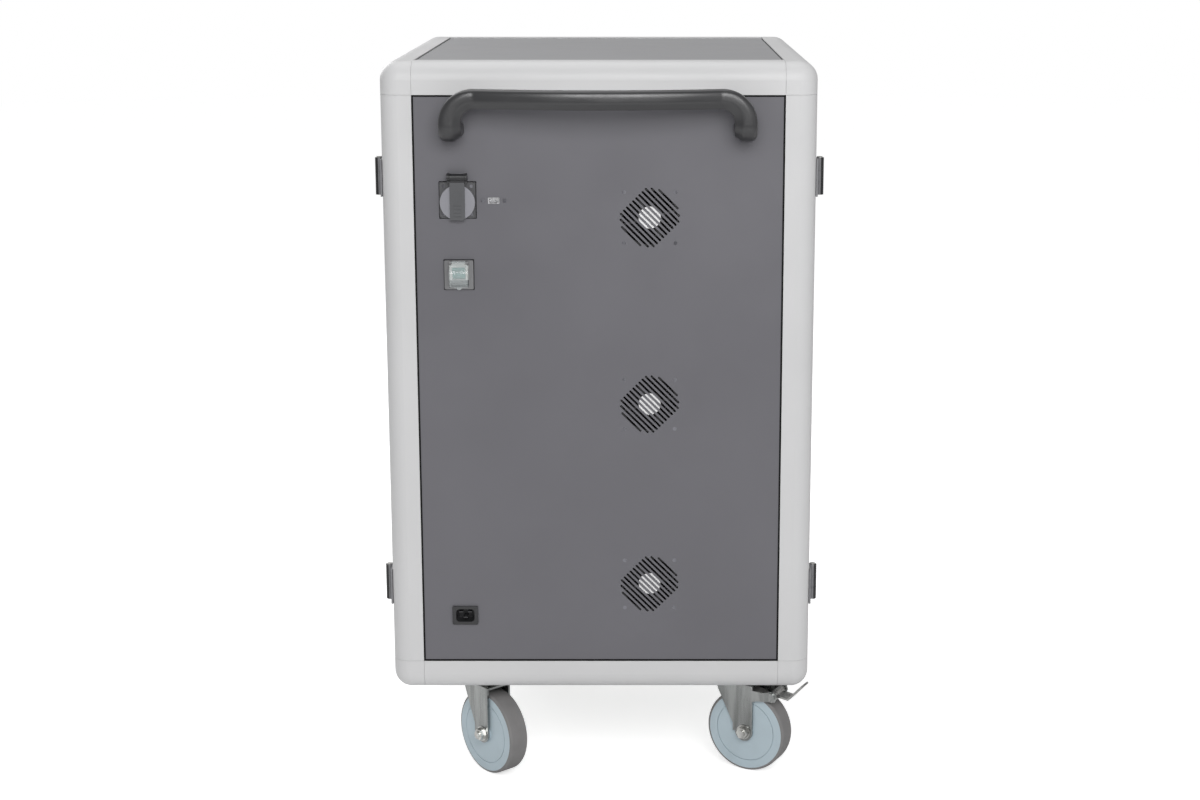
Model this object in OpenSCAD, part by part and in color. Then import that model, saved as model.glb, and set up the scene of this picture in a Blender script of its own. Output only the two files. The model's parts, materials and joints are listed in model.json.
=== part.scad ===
// Laptop charging cart.
// A closed cabinet on four swivel casters: rounded frame profiles with cast corners,
// dark infill panels, two hinged side doors, three tiers of device bays, and the
// fans, outlet, breaker, inlet and power strips that charge what stands in the bays.
// X runs across the cart between the doors, Y from the handle end to the far end,
// Z up. The origin lies on the floor under the middle of the cart, handle included.

/* [Body] */
// Width of the body across the two doors
body_w = 605; // [560:5:680]
// Length of the body from the handle end to the far end
body_l = 640; // [600:5:760]
// Height of the body from its underside to its top face
body_h = 910; // [890:5:1040]
// Width and depth of the frame profiles
profile = 45; // [43:1:50]
// Radius of the rounded outer edges of the frame
frame_r = 25; // [12:1:35]
// Wall thickness of the frame profiles
frame_wall = 2; // [1.5:0.1:3]
// How far the infill panels lie behind the frame's faces
panel_recess = 1.5; // [0.5:0.1:3]
// Thickness of the end panels and of the doors' sheets
panel_t = 2; // [1.2:0.1:3]
// Gap between a panel and the frame round it
panel_gap = 2; // [1:0.1:4]
// Thickness of the top panel
top_t = 3; // [2:0.5:6]
// Thickness of the base plate
base_t = 3; // [2:0.5:5]

/* [Doors] */
// Depth of a door from its outer face to its inner edge
door_t = 18; // [14:1:22]
// Gap between a door and the frame round it
door_gap = 3; // [2:0.5:5]
// Height of a hinge
hinge_h = 52; // [36:1:80]
// Outer radius of the hinge knuckles
knuckle_r = 6; // [5:0.5:7]
// Radius of the hinge pins
hinge_pin_r = 3; // [2:0.5:3.5]
// Distance from the upper hinge's middle down to the door opening's top edge
hinge_top_inset = 117; // [60:1:180]
// Distance from the lower hinge's middle up to the door opening's bottom edge
hinge_bottom_inset = 107; // [60:1:180]
// Distance from a lock's middle to the door's free edge
lock_inset = 28; // [22:1:40]
// Radius of the turning lock plug
lock_r = 8; // [6:0.5:9]

/* [Inside] */
// Distance from the top fan's middle down to the end panel's opening edge
top_fan_drop = 170; // [160:1:190]
// Distance from the lowest fan's middle up to the end panel's opening edge
low_fan_rise = 117; // [100:1:125]
// Number of device bays in each tier
bay_count = 8; // [6:1:10]
// Width of the adapter compartment beside the partition
adapter_w = 167; // [150:1:180]
// Thickness of the shelves, trays, dividers and the partition
sheet_t = 1.5; // [1:0.1:2]
// Distance from a divider plate's top up to the shelf above
divider_drop = 80; // [50:5:140]

/* [Fans] */
// Side of the square fan frames
fan_size = 80; // [76:1:84]
// Depth of the fans
fan_depth = 25; // [22:1:32]
// Distance between neighbouring fan screws
fan_hole_pitch = 71.5; // [70:0.5:73]
// Distance from the fans' middle to the frame post beside them
fan_inset = 187; // [150:0.5:200]
// Number of slots in each fan grille
slot_count = 13; // [9:2:13]
// Width of a grille slot
slot_w = 3.1; // [2:0.1:4]
// Distance between neighbouring grille slots
slot_pitch = 6.1; // [5.5:0.1:6.3]

/* [Service fittings] */
// Distance from the outlet's and breaker's middle to the frame post beside them
service_inset = 61.5; // [50:0.5:65]
// Distance from the outlet's middle down to the panel opening's top edge
outlet_drop = 145; // [140:1:165]
// Side of the outlet's square flange
outlet_size = 50; // [50:0.5:54]
// Radius of the outlet's round well
well_r = 19.5; // [19:0.1:20]
// Radius of the outlet's flap
flap_r = 24.3; // [22.5:0.1:24.5]
// Distance from the data port's middle to the outlet's middle
port_offset = 50; // [48:0.2:54]
// Distance from the breaker's middle down to the panel opening's top edge
breaker_drop = 250; // [245:1:280]
// Width of the breaker's frame
breaker_w = 40.5; // [38:0.5:44]
// Height of the breaker's frame
breaker_h = 41; // [41:0.5:46]
// Distance from the power inlet's middle up to the panel opening's bottom edge
inlet_rise = 70; // [50:1:90]
// Width of the power inlet's flange
inlet_w = 37; // [36:0.5:42]
// Height of the power inlet's flange
inlet_h = 27.5; // [27:0.5:32]

/* [Push handle] */
// Distance from the frame posts to the push handle's outer edges
handle_inset = 41; // [34:1:70]
// How far the middle of the bar stands out from the frame's face
handle_reach = 80; // [70:1:100]
// How much the bar bows outward between its ends and its middle
handle_bow = 23; // [0:1:30]
// Height of the bar's section
bar_h = 27; // [22:1:30]
// Depth of the bar's section
bar_d = 22; // [18:1:26]
// Width of the feet
foot_w = 31; // [26:1:36]
// Height of the feet where they meet the panel
foot_h = 26; // [24:1:32]
// Distance from the feet's middle down to the panel opening's top edge
foot_drop = 48; // [46:1:70]

/* [Casters] */
// Height of a caster from the floor to the base plate
caster_h = 150; // [150:1:175]
// Height from a wheel's top to the base plate
caster_room = 25; // [24:1:34]
// Width of a wheel
wheel_w = 32; // [26:1:34]
// Distance from the swivel axis to the wheel's axle
trail = 38; // [34:1:42]
// Distance from a swivel axis to the body's side
caster_side_inset = 114.5; // [100:0.5:118]
// Distance from a swivel axis to the body's end
caster_end_inset = 93; // [92:1:120]
// Radius of the axle bolts
axle_r = 5; // [4:0.5:6]
// Radius of the swivel's king pin
king_r = 6; // [5:0.5:8]

/* [Hidden] */
$fn = 64;

// General clearances
over = 1;
seat = 0.3;
seam = 0.3;
run_fit = 0.05;
bend_clear = 0.6;

// Body planes
x_out = body_w / 2;
in_x = x_out - profile;
near_y = (handle_reach - body_l) / 2;
far_y = near_y + body_l;
mid_y = (near_y + far_y) / 2;
in_y0 = near_y + profile;
in_y1 = far_y - profile;
base_z = caster_h;
top_z = base_z + body_h;
in_z0 = base_z + profile;
in_z1 = top_z - profile;
mid_z = (in_z0 + in_z1) / 2;
face_y = near_y + panel_recess;

// Frame details
lip_w = 12;
lip_t = 2;
lip_depth = panel_recess + panel_t;
top_lip_depth = panel_recess + top_t;
spigot_l = 30;
spigot_inset = frame_wall + seat;
strike_gap = 1;
strike_w = 12;
strike_depth = door_t + strike_gap;

// Door and hinge details
door_y0 = in_y0 + door_gap;
door_y1 = in_y1 - door_gap;
door_z0 = in_z0 + door_gap;
door_z1 = in_z1 - door_gap;
door_flange = 14;
vent_l = 90;
vent_w = 5;
vent_pitch = 14;
vent_count = 5;
hinge_x = x_out + knuckle_r + bend_clear;
hinge_y = in_y0 + door_gap / 2;
hinge_zs = [in_z1 - hinge_top_inset, in_z0 + hinge_bottom_inset];
leaf_t = 2.5;
leaf_w = 28;
leaf_clear = knuckle_r + bend_clear;
knuckle_h = hinge_h / 3;
pin_head_r = 4;
pin_head_t = 1.5;

// Lock details
lock_y = door_y1 - lock_inset;
lock_z = mid_z;
barrel_wall = 3;
barrel_r = lock_r + barrel_wall;
rose_r = barrel_r + barrel_wall;
rose_t = 3;
knob_t = 6;
knob_h = 7;
cam_t = 2.5;
cam_w = 12;
cam_l = 24;
cam_depth = strike_depth + lip_t + seat;

// Interior planes
shelf_x = x_out - cam_depth - cam_t - strike_gap;
partition_x = adapter_w - in_x;
partition_left = partition_x - sheet_t / 2;
partition_right = partition_x + sheet_t / 2;
tier_count = 3;
tier_pitch = (in_z1 - in_z0 - top_fan_drop - low_fan_rise) / (tier_count - 1);
divider_h = tier_pitch - divider_drop;
function fan_z(i) = in_z1 - top_fan_drop - (tier_count - 1 - i) * tier_pitch;
ceiling_drop = 36.75;
ceiling_z = in_z1 - ceiling_drop;
function floor_z(i) = i == 0 ? in_z0 + sheet_t : i == tier_count ? ceiling_z : fan_z(i) - tier_pitch / 2;
bay_pitch = (in_y1 - in_y0) / bay_count;
shelf_flange = 15;
tray_lip = 25;
weld_flange = 16;
cable_hole_r = 14;
cable_hole_rise = 30;
divider_slope = 60;
divider_setback = 6;

// Power strip details
strip_w = 44;
strip_h = 44;
strip_drop = 50;
strip_start = 60;
strip_end_gap = 14;
strip_sockets = 8;
strip_pin_r = 2.5;
strip_pin_pitch = 19;
strip_pin_depth = 16;
strip_face_r = 19;
strip_face_depth = 1;

// Fan details
fan_x = in_x - fan_inset;
fan_corner_r = 4;
fan_bore_r = 38;
fan_screw_r = 2.1;
fan_screw_l = 12;
hub_r = 18;
label_r = 16.5;
strut_w = 3;
strut_t = 2.5;
strut_angles = [15, 120, 195, 300];
boss_r = 7;
boss_l = 9;
rotor_shaft_r = 1.5;
rotor_end_gap = 1.5;
blade_count = 7;
blade_chord = 22;
blade_t = 1.8;
blade_pitch = 38;
blade_tip_gap = 1.2;
grille_half = 34;
grille_r = 41.5;
screw_head_r = 2.8;
screw_head_t = 1.5;

// Outlet details
service_x = service_inset - in_x;
outlet_z = in_z1 - outlet_drop;
flange_t = 3.2;
flange_r = 4;
well_wall = 2;
well_depth = 15;
outlet_depth = 38;
collar_t = 0.9;
outlet_pin_r = 2.5;
outlet_pin_pitch = 19;
outlet_pin_depth = 18;
outlet_screw = 19.5;
outlet_screw_r = 1.5;
outlet_head_r = 2.4;
flap_drop = 3;
flap_t = 3.2;
flap_gap = seat;
strap_w = 20.5;
strap_t = 5.5;
flap_axis_y = 32.5;
flap_axis_z = 8.5;
flap_barrel_r = 5;
flap_pin_r = 1.5;
ear_w = 3.4;
rib_count = 4;
rib_w = 1.2;
rib_pitch = 5;
rib_depth = 0.6;

// Data port details
port_x = service_x + port_offset;
port_drop = 1;
port_z = outlet_z - port_drop;
port_w = 16;
port_h = 8.8;
port_r = 1;
port_proud = 0.4;
port_mouth_w = 12.4;
port_mouth_h = 5;
port_mouth_depth = 9;
port_tongue_w = 11;
port_tongue_h = 1.8;
port_body_w = 14;
port_body_h = 7;
port_depth = 18;
port_tab_w = 37;
port_tab_h = 12;
port_tab_t = 1.5;
port_screw_pitch = 30;
port_screw_r = 1.5;
port_head_r = 2.6;
port_head_t = 1;

// Breaker details
breaker_z = in_z1 - breaker_drop;
breaker_flange_t = 3.5;
breaker_r = 2;
window_w = 27;
window_h = 34;
neck_wall = 2;
neck_depth = 18;
breaker_depth = 50;
breaker_front = 1;
drum_r = 7;
drum_w = 18;
drum_z = -4;
lever_t = 4.5;
lever_l = 16;
lever_angle = 35;
toggle_pin_r = 1.5;
toggle_pin_l = 2;
cover_w = 26;
cover_wall = 1.2;
cover_rise = 12;
cover_bottom = -18.5;
cover_axis_y = 17.5;
cover_axis_z = breaker_flange_t + 2.5;
cover_pin_r = 1;
cover_knuckle_r = 2.2;
lug_r = 2.4;
lug_w = 3.2;
tab_r = 4;
tab_t = 1.5;

// Inlet details
inlet_x = service_x;
inlet_z = in_z0 + inlet_rise;
inlet_flange_t = 2.8;
inlet_body_w = 31;
inlet_body_h = 23;
inlet_depth = 34;
cavity_w = 26.5;
cavity_h = 19;
cavity_r = 5;
cavity_depth = 22;
blade_pin_w = 6;
blade_pin_h = 2;
blade_pin_l = 17;
blade_pin_x = 6.5;
blade_pin_up = 4;
blade_pin_down = -4.5;

// Control box and cables
control_w = 120;
control_l = 200;
control_h = 58;
control_gap = 20;
cable_r = 4;
cable_depth = 30;
cable_rise = 24;
cable_y = near_y + cable_depth;
cable_bend_z = ceiling_z + cable_rise;
inlet_cable_side = 40;
inlet_cable_x = service_x - inlet_cable_side;
breaker_cable_side = 33;
breaker_cable_x = service_x + breaker_cable_side;
trunk_gap = 12;
trunk_x = partition_left - trunk_gap;
trunk_inset = 32;
trunk_y = in_y0 + trunk_inset;

// Handle path
foot_z = in_z1 - foot_drop;
foot_x = in_x - handle_inset - foot_w / 2;
corner_bend = 33;
foot_bend = 13.5;
bar_z = foot_z + corner_bend + foot_bend;
bar_mid_out = handle_reach - bar_d / 2;
bar_end_out = bar_mid_out - handle_bow;
bar_rings = 10;
corner_rings = 7;
foot_rings = 6;
handle_sides = 16;
section_power = 0.62;
handle_bolt_r = 4;
handle_bolt_l = 15;
handle_bore_l = 17;
handle_head_r = 7.5;
handle_head_t = 5.3;
washer_r = 11;
washer_t = 2;

// Caster details
caster_x = x_out - caster_side_inset;
caster_y0 = near_y + caster_end_inset;
caster_y1 = far_y - caster_end_inset;
// Each caster: X, Y, and the way its wheel trails, in degrees
CASTERS = [
    [-caster_x, caster_y0, -48],
    [caster_x, caster_y0, -28],
    [-caster_x, caster_y1, -44],
    [caster_x, caster_y1, -36]
];
plate_w = 105;
plate_l = 85;
plate_t = 4;
plate_r = 8;
bolt_pitch_x = 80;
bolt_pitch_y = 60;
bolt_r = 4;
bolt_hole_r = 4.5;
bolt_head_r = 7.5;
bolt_head_t = 5.3;
nut_t = 6.5;
thread_end = 2;
cup_r = 30;
cup_t = 5.7;
crown_r = 32;
crown_t = 4;
bridge_t = 3;
king_head_r = 10;
king_head_t = 3.5;
leg_t = 3;
leg_gap = 2.5;
leg_in = wheel_w / 2 + leg_gap;
leg_out = leg_in + leg_t;
leg_foot_r = 14;
leg_lead_angle = 6;
cup_bottom = caster_h - plate_t - cup_t;
crown_top = cup_bottom - seat;
crown_bottom = crown_top - crown_t;
wheel_r = (caster_h - caster_room) / 2;
bridge_bottom = crown_bottom - bridge_t;
king_bottom = bridge_bottom - seat - king_head_t;
ridge_back = 18;
ridge_x = trail - ridge_back;
lead_top_back = 33;
lead_mid_back = 27;
lead_mid_drop = 14.5;
lead_low_rise = 11;
bridge_share = 0.4;
bridge_x0 = -crown_r * bridge_share;
bridge_x1 = trail + leg_foot_r - bend_clear;
fold_inset = 0.1;
core_rim_share = 0.936;
core_rim_r = wheel_r * core_rim_share;
core_seat_share = 0.864;
core_seat_r = wheel_r * core_seat_share;
core_rim_t = 3;
groove_share = 0.736;
groove_r = wheel_r * groove_share;
groove_w = 1;
groove_depth = 1.2;
hub_boss_r = 13;
shoulder_r = 4;
axle_washer_r = 11;
axle_washer_t = 1.5;
axle_nut_r = 9;
axle_nut_t = 6.5;
axle_end = 3;
pedal_gap = 13.5;
pedal_angle = 55;
pedal_x = trail + (wheel_r + pedal_gap) * cos(pedal_angle);
pedal_z = wheel_r + (wheel_r + pedal_gap) * sin(pedal_angle);
pedal_hub_r = 6;
pedal_pin_r = 3;
pedal_head_r = 6.5;
pedal_head_t = 2.5;
pedal_w = 24;
pedal_t = 3;
pedal_bend = [23, -3];
pedal_tip = [45, 21];
pedal_cam = [-3.4, -12.7];
brake_ear = [[-52, 6], [-14, 4], [0, 8], [7, 6], [9, 0], [6, -7], [-24, -10.5], [-33, -14]];

// Base plate channels
channel_w = 98;
channel_top_w = 40;
channel_h = 30;
channel_t = lip_t;

// Colours
light_grey = [0.78, 0.78, 0.79];
dark_grey = [0.34, 0.34, 0.37];
black = [0.08, 0.08, 0.09];
zinc = [0.62, 0.63, 0.62];
wheel_blue = [0.62, 0.70, 0.75];
tread_grey = [0.42, 0.41, 0.42];
flap_grey = [0.58, 0.58, 0.61];
white = [0.9, 0.9, 0.88];
teal = [0.25, 0.50, 0.47];

// Box between two opposite corners
module span(low, high) {
    translate(low)
        cube(high - low);
}

// Rectangle about the origin with four rounded corners
module rounded_rect(w, h, r) {
    square([w - 2 * r, h], center = true);
    square([w, h - 2 * r], center = true);
    for (sx = [-1, 1])
        for (sy = [-1, 1])
            translate([sx * (w / 2 - r), sy * (h / 2 - r)])
                circle(r);
}

// Slot with round ends along X, about the origin
module slot_2d(length, w) {
    square([length - w, w], center = true);
    for (s = [-1, 1])
        translate([s * (length - w) / 2, 0])
            circle(w / 2);
}

// Hexagonal prism with its flats' corners at the given radius
module hex_prism(r, h) {
    cylinder(r = r, h = h, $fn = 6);
}

// Cylinder along X, centred on the origin
module x_cylinder(r, length) {
    rotate([0, 90, 0])
        cylinder(r = r, h = length, center = true);
}

// Square with only the corner at the origin rounded
module corner_square(size, r) {
    translate([r, 0])
        square([size - r, size]);
    translate([0, r])
        square([size, size - r]);
    intersection() {
        square(size);
        translate([r, r])
            circle(r);
    }
}

// Hollow section of a frame profile, outer rounded corner at the origin
module profile_2d() {
    difference() {
        corner_square(profile, frame_r);
        translate([frame_wall, frame_wall])
            corner_square(profile - 2 * frame_wall, frame_r - frame_wall);
    }
}

// Frames of reference: the first axes run inward from the body's outer corner or edge
module at_corner(sx, sy) {
    translate([sx * x_out, sy > 0 ? far_y : near_y, 0])
        mirror([sx > 0 ? 1 : 0, 0, 0])
            mirror([0, sy > 0 ? 1 : 0, 0])
                children();
}

module at_x_edge(sy, sz) {
    translate([0, sy > 0 ? far_y : near_y, sz > 0 ? top_z : base_z])
        mirror([0, sy > 0 ? 1 : 0, 0])
            mirror([0, 0, sz > 0 ? 1 : 0])
                rotate([90, 0, 90])
                    children();
}

module at_y_edge(sx, sz) {
    translate([sx * x_out, mid_y, sz > 0 ? top_z : base_z])
        mirror([sx > 0 ? 1 : 0, 0, 0])
            mirror([0, 0, sz > 0 ? 1 : 0])
                rotate([90, 0, 0])
                    children();
}

// Handle end panel's outer face: X across, Y up, Z outward
module at_panel(x, z) {
    translate([x, face_y, z])
        rotate([90, 0, 0])
            children();
}

// The other side of the cart, for what both sides carry
module on_side(s) {
    mirror([s > 0 ? 0 : 1, 0, 0])
        children();
}

// Frame: its lips and ledges are strips beside the profiles

module frame_posts() {
    color(light_grey)
        for (sx = [-1, 1])
            for (sy = [-1, 1])
                at_corner(sx, sy)
                    translate([0, 0, mid_z])
                        linear_extrude(in_z1 - in_z0 - 2 * seam, center = true) {
                            profile_2d();
                            translate([profile + seam, lip_depth])
                                square([lip_w - seam, lip_t]);
                            if (sy > 0)
                                translate([strike_depth, profile + seam])
                                    square([lip_t, strike_w - seam]);
                        }
}

// Ledge that carries the top panel or rests on the base plate
module ledge_2d(depth) {
    translate([profile + seam, depth])
        square([lip_w - seam, lip_t]);
}

module rail_ring(sz, ledge_depth) {
    for (sy = [-1, 1])
        at_x_edge(sy, sz) {
            linear_extrude(2 * (in_x - seam), center = true) {
                profile_2d();
                ledge_2d(ledge_depth);
            }
            linear_extrude(2 * (in_x - lip_w), center = true)
                translate([lip_depth, profile + seam])
                    square([lip_t, lip_w - seam]);
        }
    for (sx = [-1, 1])
        at_y_edge(sx, sz) {
            linear_extrude(in_y1 - in_y0 - 2 * seam, center = true)
                profile_2d();
            linear_extrude(in_y1 - in_y0 - 2 * (lip_w + seam), center = true)
                ledge_2d(ledge_depth);
        }
}

module frame_top_rails() {
    color(light_grey)
        rail_ring(1, top_lip_depth);
}

module frame_bottom_rails() {
    color(light_grey)
        rail_ring(-1, base_t);
}

// Plug that fills a profile's hollow with a little clearance
module spigot_2d() {
    translate([spigot_inset, spigot_inset])
        corner_square(profile - 2 * spigot_inset, frame_r - spigot_inset);
}

// Three-way corner piece, outer corner at the origin
module corner_piece() {
    flat = profile - frame_r;
    intersection() {
        cube(profile);
        union() {
            translate([frame_r, frame_r, 0])
                cube([flat, flat, profile]);
            translate([frame_r, 0, frame_r])
                cube([flat, profile, flat]);
            translate([0, frame_r, frame_r])
                cube([profile, flat, flat]);
            translate([frame_r, frame_r, frame_r]) {
                sphere(frame_r);
                cylinder(r = frame_r, h = flat);
                rotate([0, 90, 0])
                    cylinder(r = frame_r, h = flat);
                rotate([-90, 0, 0])
                    cylinder(r = frame_r, h = flat);
            }
        }
    }
    translate([0, 0, profile])
        linear_extrude(spigot_l)
            spigot_2d();
    translate([profile, 0, 0])
        rotate([90, 0, 90])
            linear_extrude(spigot_l)
                spigot_2d();
    translate([0, profile, 0])
        mirror([0, 1, 0])
            rotate([90, 0, 0])
                linear_extrude(spigot_l)
                    spigot_2d();
}

module frame_corners() {
    color(light_grey)
        for (sx = [-1, 1])
            for (sy = [-1, 1])
                for (top = [false, true])
                    at_corner(sx, sy)
                        translate([0, 0, top ? top_z : base_z])
                            mirror([0, 0, top ? 1 : 0])
                                corner_piece();
}

// Base plate with its two folded channels over the casters
module base_plate() {
    channel_y0 = in_y0 + lip_w + seat;
    channel_y1 = in_y1 - lip_w - seat;
    color(zinc)
        difference() {
            union() {
                span([-in_x + seat, in_y0 + seat, base_z],
                     [in_x - seat, in_y1 - seat, base_z + base_t]);
                for (s = [-1, 1])
                    translate([s * caster_x, (channel_y0 + channel_y1) / 2, base_z + base_t])
                        rotate([90, 0, 0])
                            linear_extrude(channel_y1 - channel_y0, center = true)
                                channel_2d();
            }
            for (c = CASTERS)
                translate([c[0], c[1], base_z - over])
                    bolt_pattern()
                        cylinder(r = bolt_hole_r, h = base_t + channel_t + 2 * over);
        }
}

// Top-hat section: two flanges on the plate and a raised web between them
module channel_2d() {
    difference() {
        union() {
            translate([-channel_w / 2, 0])
                square([channel_w, channel_t]);
            translate([-channel_top_w / 2, 0])
                square([channel_top_w, channel_h]);
        }
        translate([-channel_top_w / 2 + channel_t, -over])
            square([channel_top_w - 2 * channel_t, channel_h - channel_t + over]);
    }
}

// Panels

module top_panel() {
    color(dark_grey)
        span([-in_x + panel_gap, in_y0 + panel_gap, top_z - top_lip_depth],
             [in_x - panel_gap, in_y1 - panel_gap, top_z - panel_recess]);
}

// One grille slot's length, shorter towards the grille's rim
function slot_length(p) = 2 * min(grille_half, sqrt(grille_r * grille_r - p * p));

module grille_2d() {
    for (i = [0 : slot_count - 1])
        let (p = (i - (slot_count - 1) / 2) * slot_pitch)
            rotate(-45)
                translate([0, p])
                    slot_2d(slot_length(p), slot_w);
}

// Four places at the corners of a square
module square_pattern(half) {
    for (sx = [-1, 1])
        for (sy = [-1, 1])
            translate([sx * half, sy * half, 0])
                children();
}

// Flat sheet between the frame's members, behind the handle end's face
module end_sheet() {
    at_panel(0, mid_z)
        translate([0, 0, -panel_t])
            linear_extrude(panel_t)
                square([2 * (in_x - panel_gap), in_z1 - in_z0 - 2 * panel_gap], center = true);
}

// Cut right through the handle end panel
module through_panel() {
    translate([0, 0, -panel_t - over])
        linear_extrude(panel_t + 2 * over)
            children();
}

module countersink() {
    translate([0, 0, -screw_head_t])
        cylinder(r1 = fan_screw_r, r2 = screw_head_r, h = screw_head_t);
    translate([0, 0, -over / 1000])
        cylinder(r = screw_head_r, h = over);
}

module handle_end_panel() {
    color(dark_grey)
        difference() {
            end_sheet();
            for (i = [0 : tier_count - 1])
                at_panel(fan_x, fan_z(i)) {
                    through_panel() {
                        grille_2d();
                        square_pattern(fan_hole_pitch / 2)
                            circle(fan_screw_r);
                    }
                    square_pattern(fan_hole_pitch / 2)
                        countersink();
                }
            at_panel(service_x, outlet_z)
                through_panel() {
                    circle(well_r + well_wall + seat);
                    square_pattern(outlet_screw)
                        circle(outlet_screw_r);
                }
            at_panel(port_x, port_z)
                through_panel() {
                    rounded_rect(port_w + seat, port_h + seat, port_r);
                    for (s = [-1, 1])
                        translate([s * port_screw_pitch / 2, 0])
                            circle(port_screw_r);
                }
            at_panel(service_x, breaker_z)
                through_panel()
                    square([window_w + 2 * (neck_wall + seat),
                            window_h + 2 * (neck_wall + seat)], center = true);
            at_panel(inlet_x, inlet_z)
                through_panel()
                    square([inlet_body_w + 2 * seat, inlet_body_h + 2 * seat], center = true);
            for (s = [-1, 1])
                at_panel(s * foot_x, foot_z)
                    through_panel()
                        circle(handle_bolt_r + seat);
        }
}

module far_end_panel() {
    color(dark_grey)
        translate([0, 2 * mid_y, 0])
            mirror([0, 1, 0])
                end_sheet();
}

// Push handle

// Point on the unit rounded-rectangle outline at an angle
function bulge(v) = sign(v) * pow(abs(v), section_power);
function outline(a) = [bulge(cos(a)), bulge(sin(a))];

// Stations of the right half: centre [x, out, z], outer side [x, z], turn of the
// depth axis from outward to upright, width and depth of the section
function bar_out(x) = bar_end_out + handle_bow * (1 - pow(x / (foot_x - corner_bend), 2));
function bar_station(i) =
    let (x = (foot_x - corner_bend) * i / bar_rings)
    [[x, bar_out(x), bar_z], 0, 0, bar_h, bar_d];
function corner_station(i) =
    let (s = i / corner_rings, a = 90 * s)
    [[foot_x - corner_bend + corner_bend * sin(a), bar_end_out,
      bar_z - corner_bend + corner_bend * cos(a)],
     a, 0, bar_h + (foot_w - bar_h) * s, bar_d];
function foot_station(i) =
    let (s = i / foot_rings, a = 90 * s)
    [[foot_x, bar_end_out - foot_bend + foot_bend * cos(a),
      foot_z + foot_bend - foot_bend * sin(a)],
     90, a, foot_w, bar_d + (foot_h - bar_d) * s];
end_station = [[foot_x, -panel_recess, foot_z], 90, 90, foot_w, foot_h];
half_stations = concat(
    [for (i = [0 : bar_rings]) bar_station(i)],
    [for (i = [1 : corner_rings]) corner_station(i)],
    [for (i = [1 : foot_rings]) foot_station(i)],
    [end_station]
);

// One ring of points about a station; side is 1 for the right half, -1 for the left
function station_ring(st, side) = [
    for (k = [0 : handle_sides - 1])
        let (
            o = outline(360 * k / handle_sides),
            w = o[0] * st[3] / 2,
            d = o[1] * st[4] / 2,
            x = st[0][0] + w * sin(st[1]),
            y = near_y - st[0][1] - d * cos(st[2]),
            z = st[0][2] + w * cos(st[1]) - d * sin(st[2])
        )
        [side * x, y, z]
];

module push_handle() {
    half = len(half_stations);
    rings = concat(
        [for (i = [half - 1 : -1 : 1]) station_ring(half_stations[i], -1)],
        [for (i = [0 : half - 1]) station_ring(half_stations[i], 1)]
    );
    points = [for (ring = rings) each ring];
    last = len(rings) - 1;
    sides = [
        for (i = [0 : last - 1])
            for (k = [0 : handle_sides - 1])
                let (
                    a = i * handle_sides + k,
                    b = i * handle_sides + (k + 1) % handle_sides,
                    c = b + handle_sides,
                    d = a + handle_sides
                )
                each [[a, b, c], [a, c, d]]
    ];
    first_cap = [for (k = [handle_sides - 1 : -1 : 0]) k];
    last_cap = [for (k = [0 : handle_sides - 1]) last * handle_sides + k];
    color(black)
        difference() {
            polyhedron(points = points, faces = concat(sides, [first_cap, last_cap]));
            for (s = [-1, 1])
                at_panel(s * foot_x, foot_z)
                    translate([0, 0, -over])
                        cylinder(r = handle_bolt_r, h = handle_bore_l + over);
        }
}

// Bolts put in from behind the panel, each with its washer
module handle_bolts() {
    color(zinc)
        for (s = [-1, 1])
            at_panel(s * foot_x, foot_z) {
                translate([0, 0, -panel_t])
                    cylinder(r = handle_bolt_r, h = panel_t + handle_bolt_l);
                translate([0, 0, -panel_t - washer_t])
                    cylinder(r = washer_r, h = washer_t);
                translate([0, 0, -panel_t - washer_t - handle_head_t])
                    hex_prism(handle_head_r, handle_head_t);
            }
}

// Interior

module partition_wall() {
    wing_y0 = face_y + panel_t + seat;
    wing_y1 = far_y - lip_depth - seat;
    wing_z0 = in_z0 + lip_w + seat;
    foot_y0 = in_y0 + lip_w + seat;
    foot_z1 = base_z + base_t + lip_t + seat;
    color(light_grey)
        difference() {
            union() {
                span([partition_left, foot_y0, base_z + base_t],
                     [partition_right, in_y1 + in_y0 - foot_y0, foot_z1 + over]);
                span([partition_left, in_y0 + seat, foot_z1],
                     [partition_right, in_y1 - seat, ceiling_z - sheet_t]);
                span([partition_left, wing_y0, wing_z0],
                     [partition_right, wing_y1, ceiling_z - sheet_t]);
                span([partition_left, wing_y0, wing_z0],
                     [partition_left + weld_flange, wing_y0 + sheet_t, ceiling_z - sheet_t]);
                span([partition_left, wing_y1 - sheet_t, wing_z0],
                     [partition_left + weld_flange, wing_y1, ceiling_z - sheet_t]);
            }
            for (i = [0 : tier_count - 1])
                for (k = [0 : bay_count - 1])
                    translate([partition_x, in_y0 + (k + 0.5) * bay_pitch,
                               floor_z(i) + cable_hole_rise])
                        x_cylinder(cable_hole_r, sheet_t + 2 * over);
        }
}

// Shelf floor for one tier, with a stiffening flange under its front edge
module device_shelf(i) {
    span([partition_right + seat, in_y0 + seat, floor_z(i) - sheet_t],
         [shelf_x, in_y1 - seat, floor_z(i)]);
    if (i > 0)
        span([shelf_x - sheet_t, in_y0 + seat, floor_z(i) - shelf_flange],
             [shelf_x, in_y1 - seat, floor_z(i)]);
}

// Hole for the trunk cable in a sheet with its top at the given height
module trunk_hole(z) {
    translate([trunk_x, trunk_y, z - sheet_t - over])
        cylinder(r = cable_r + seat, h = sheet_t + 2 * over);
}

module device_shelves() {
    color(light_grey) {
        for (i = [0 : tier_count - 1])
            device_shelf(i);
        difference() {
            span([-shelf_x, in_y0 + seat, ceiling_z - sheet_t],
                 [shelf_x, in_y1 - seat, ceiling_z]);
            trunk_hole(ceiling_z);
        }
    }
}

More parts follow.
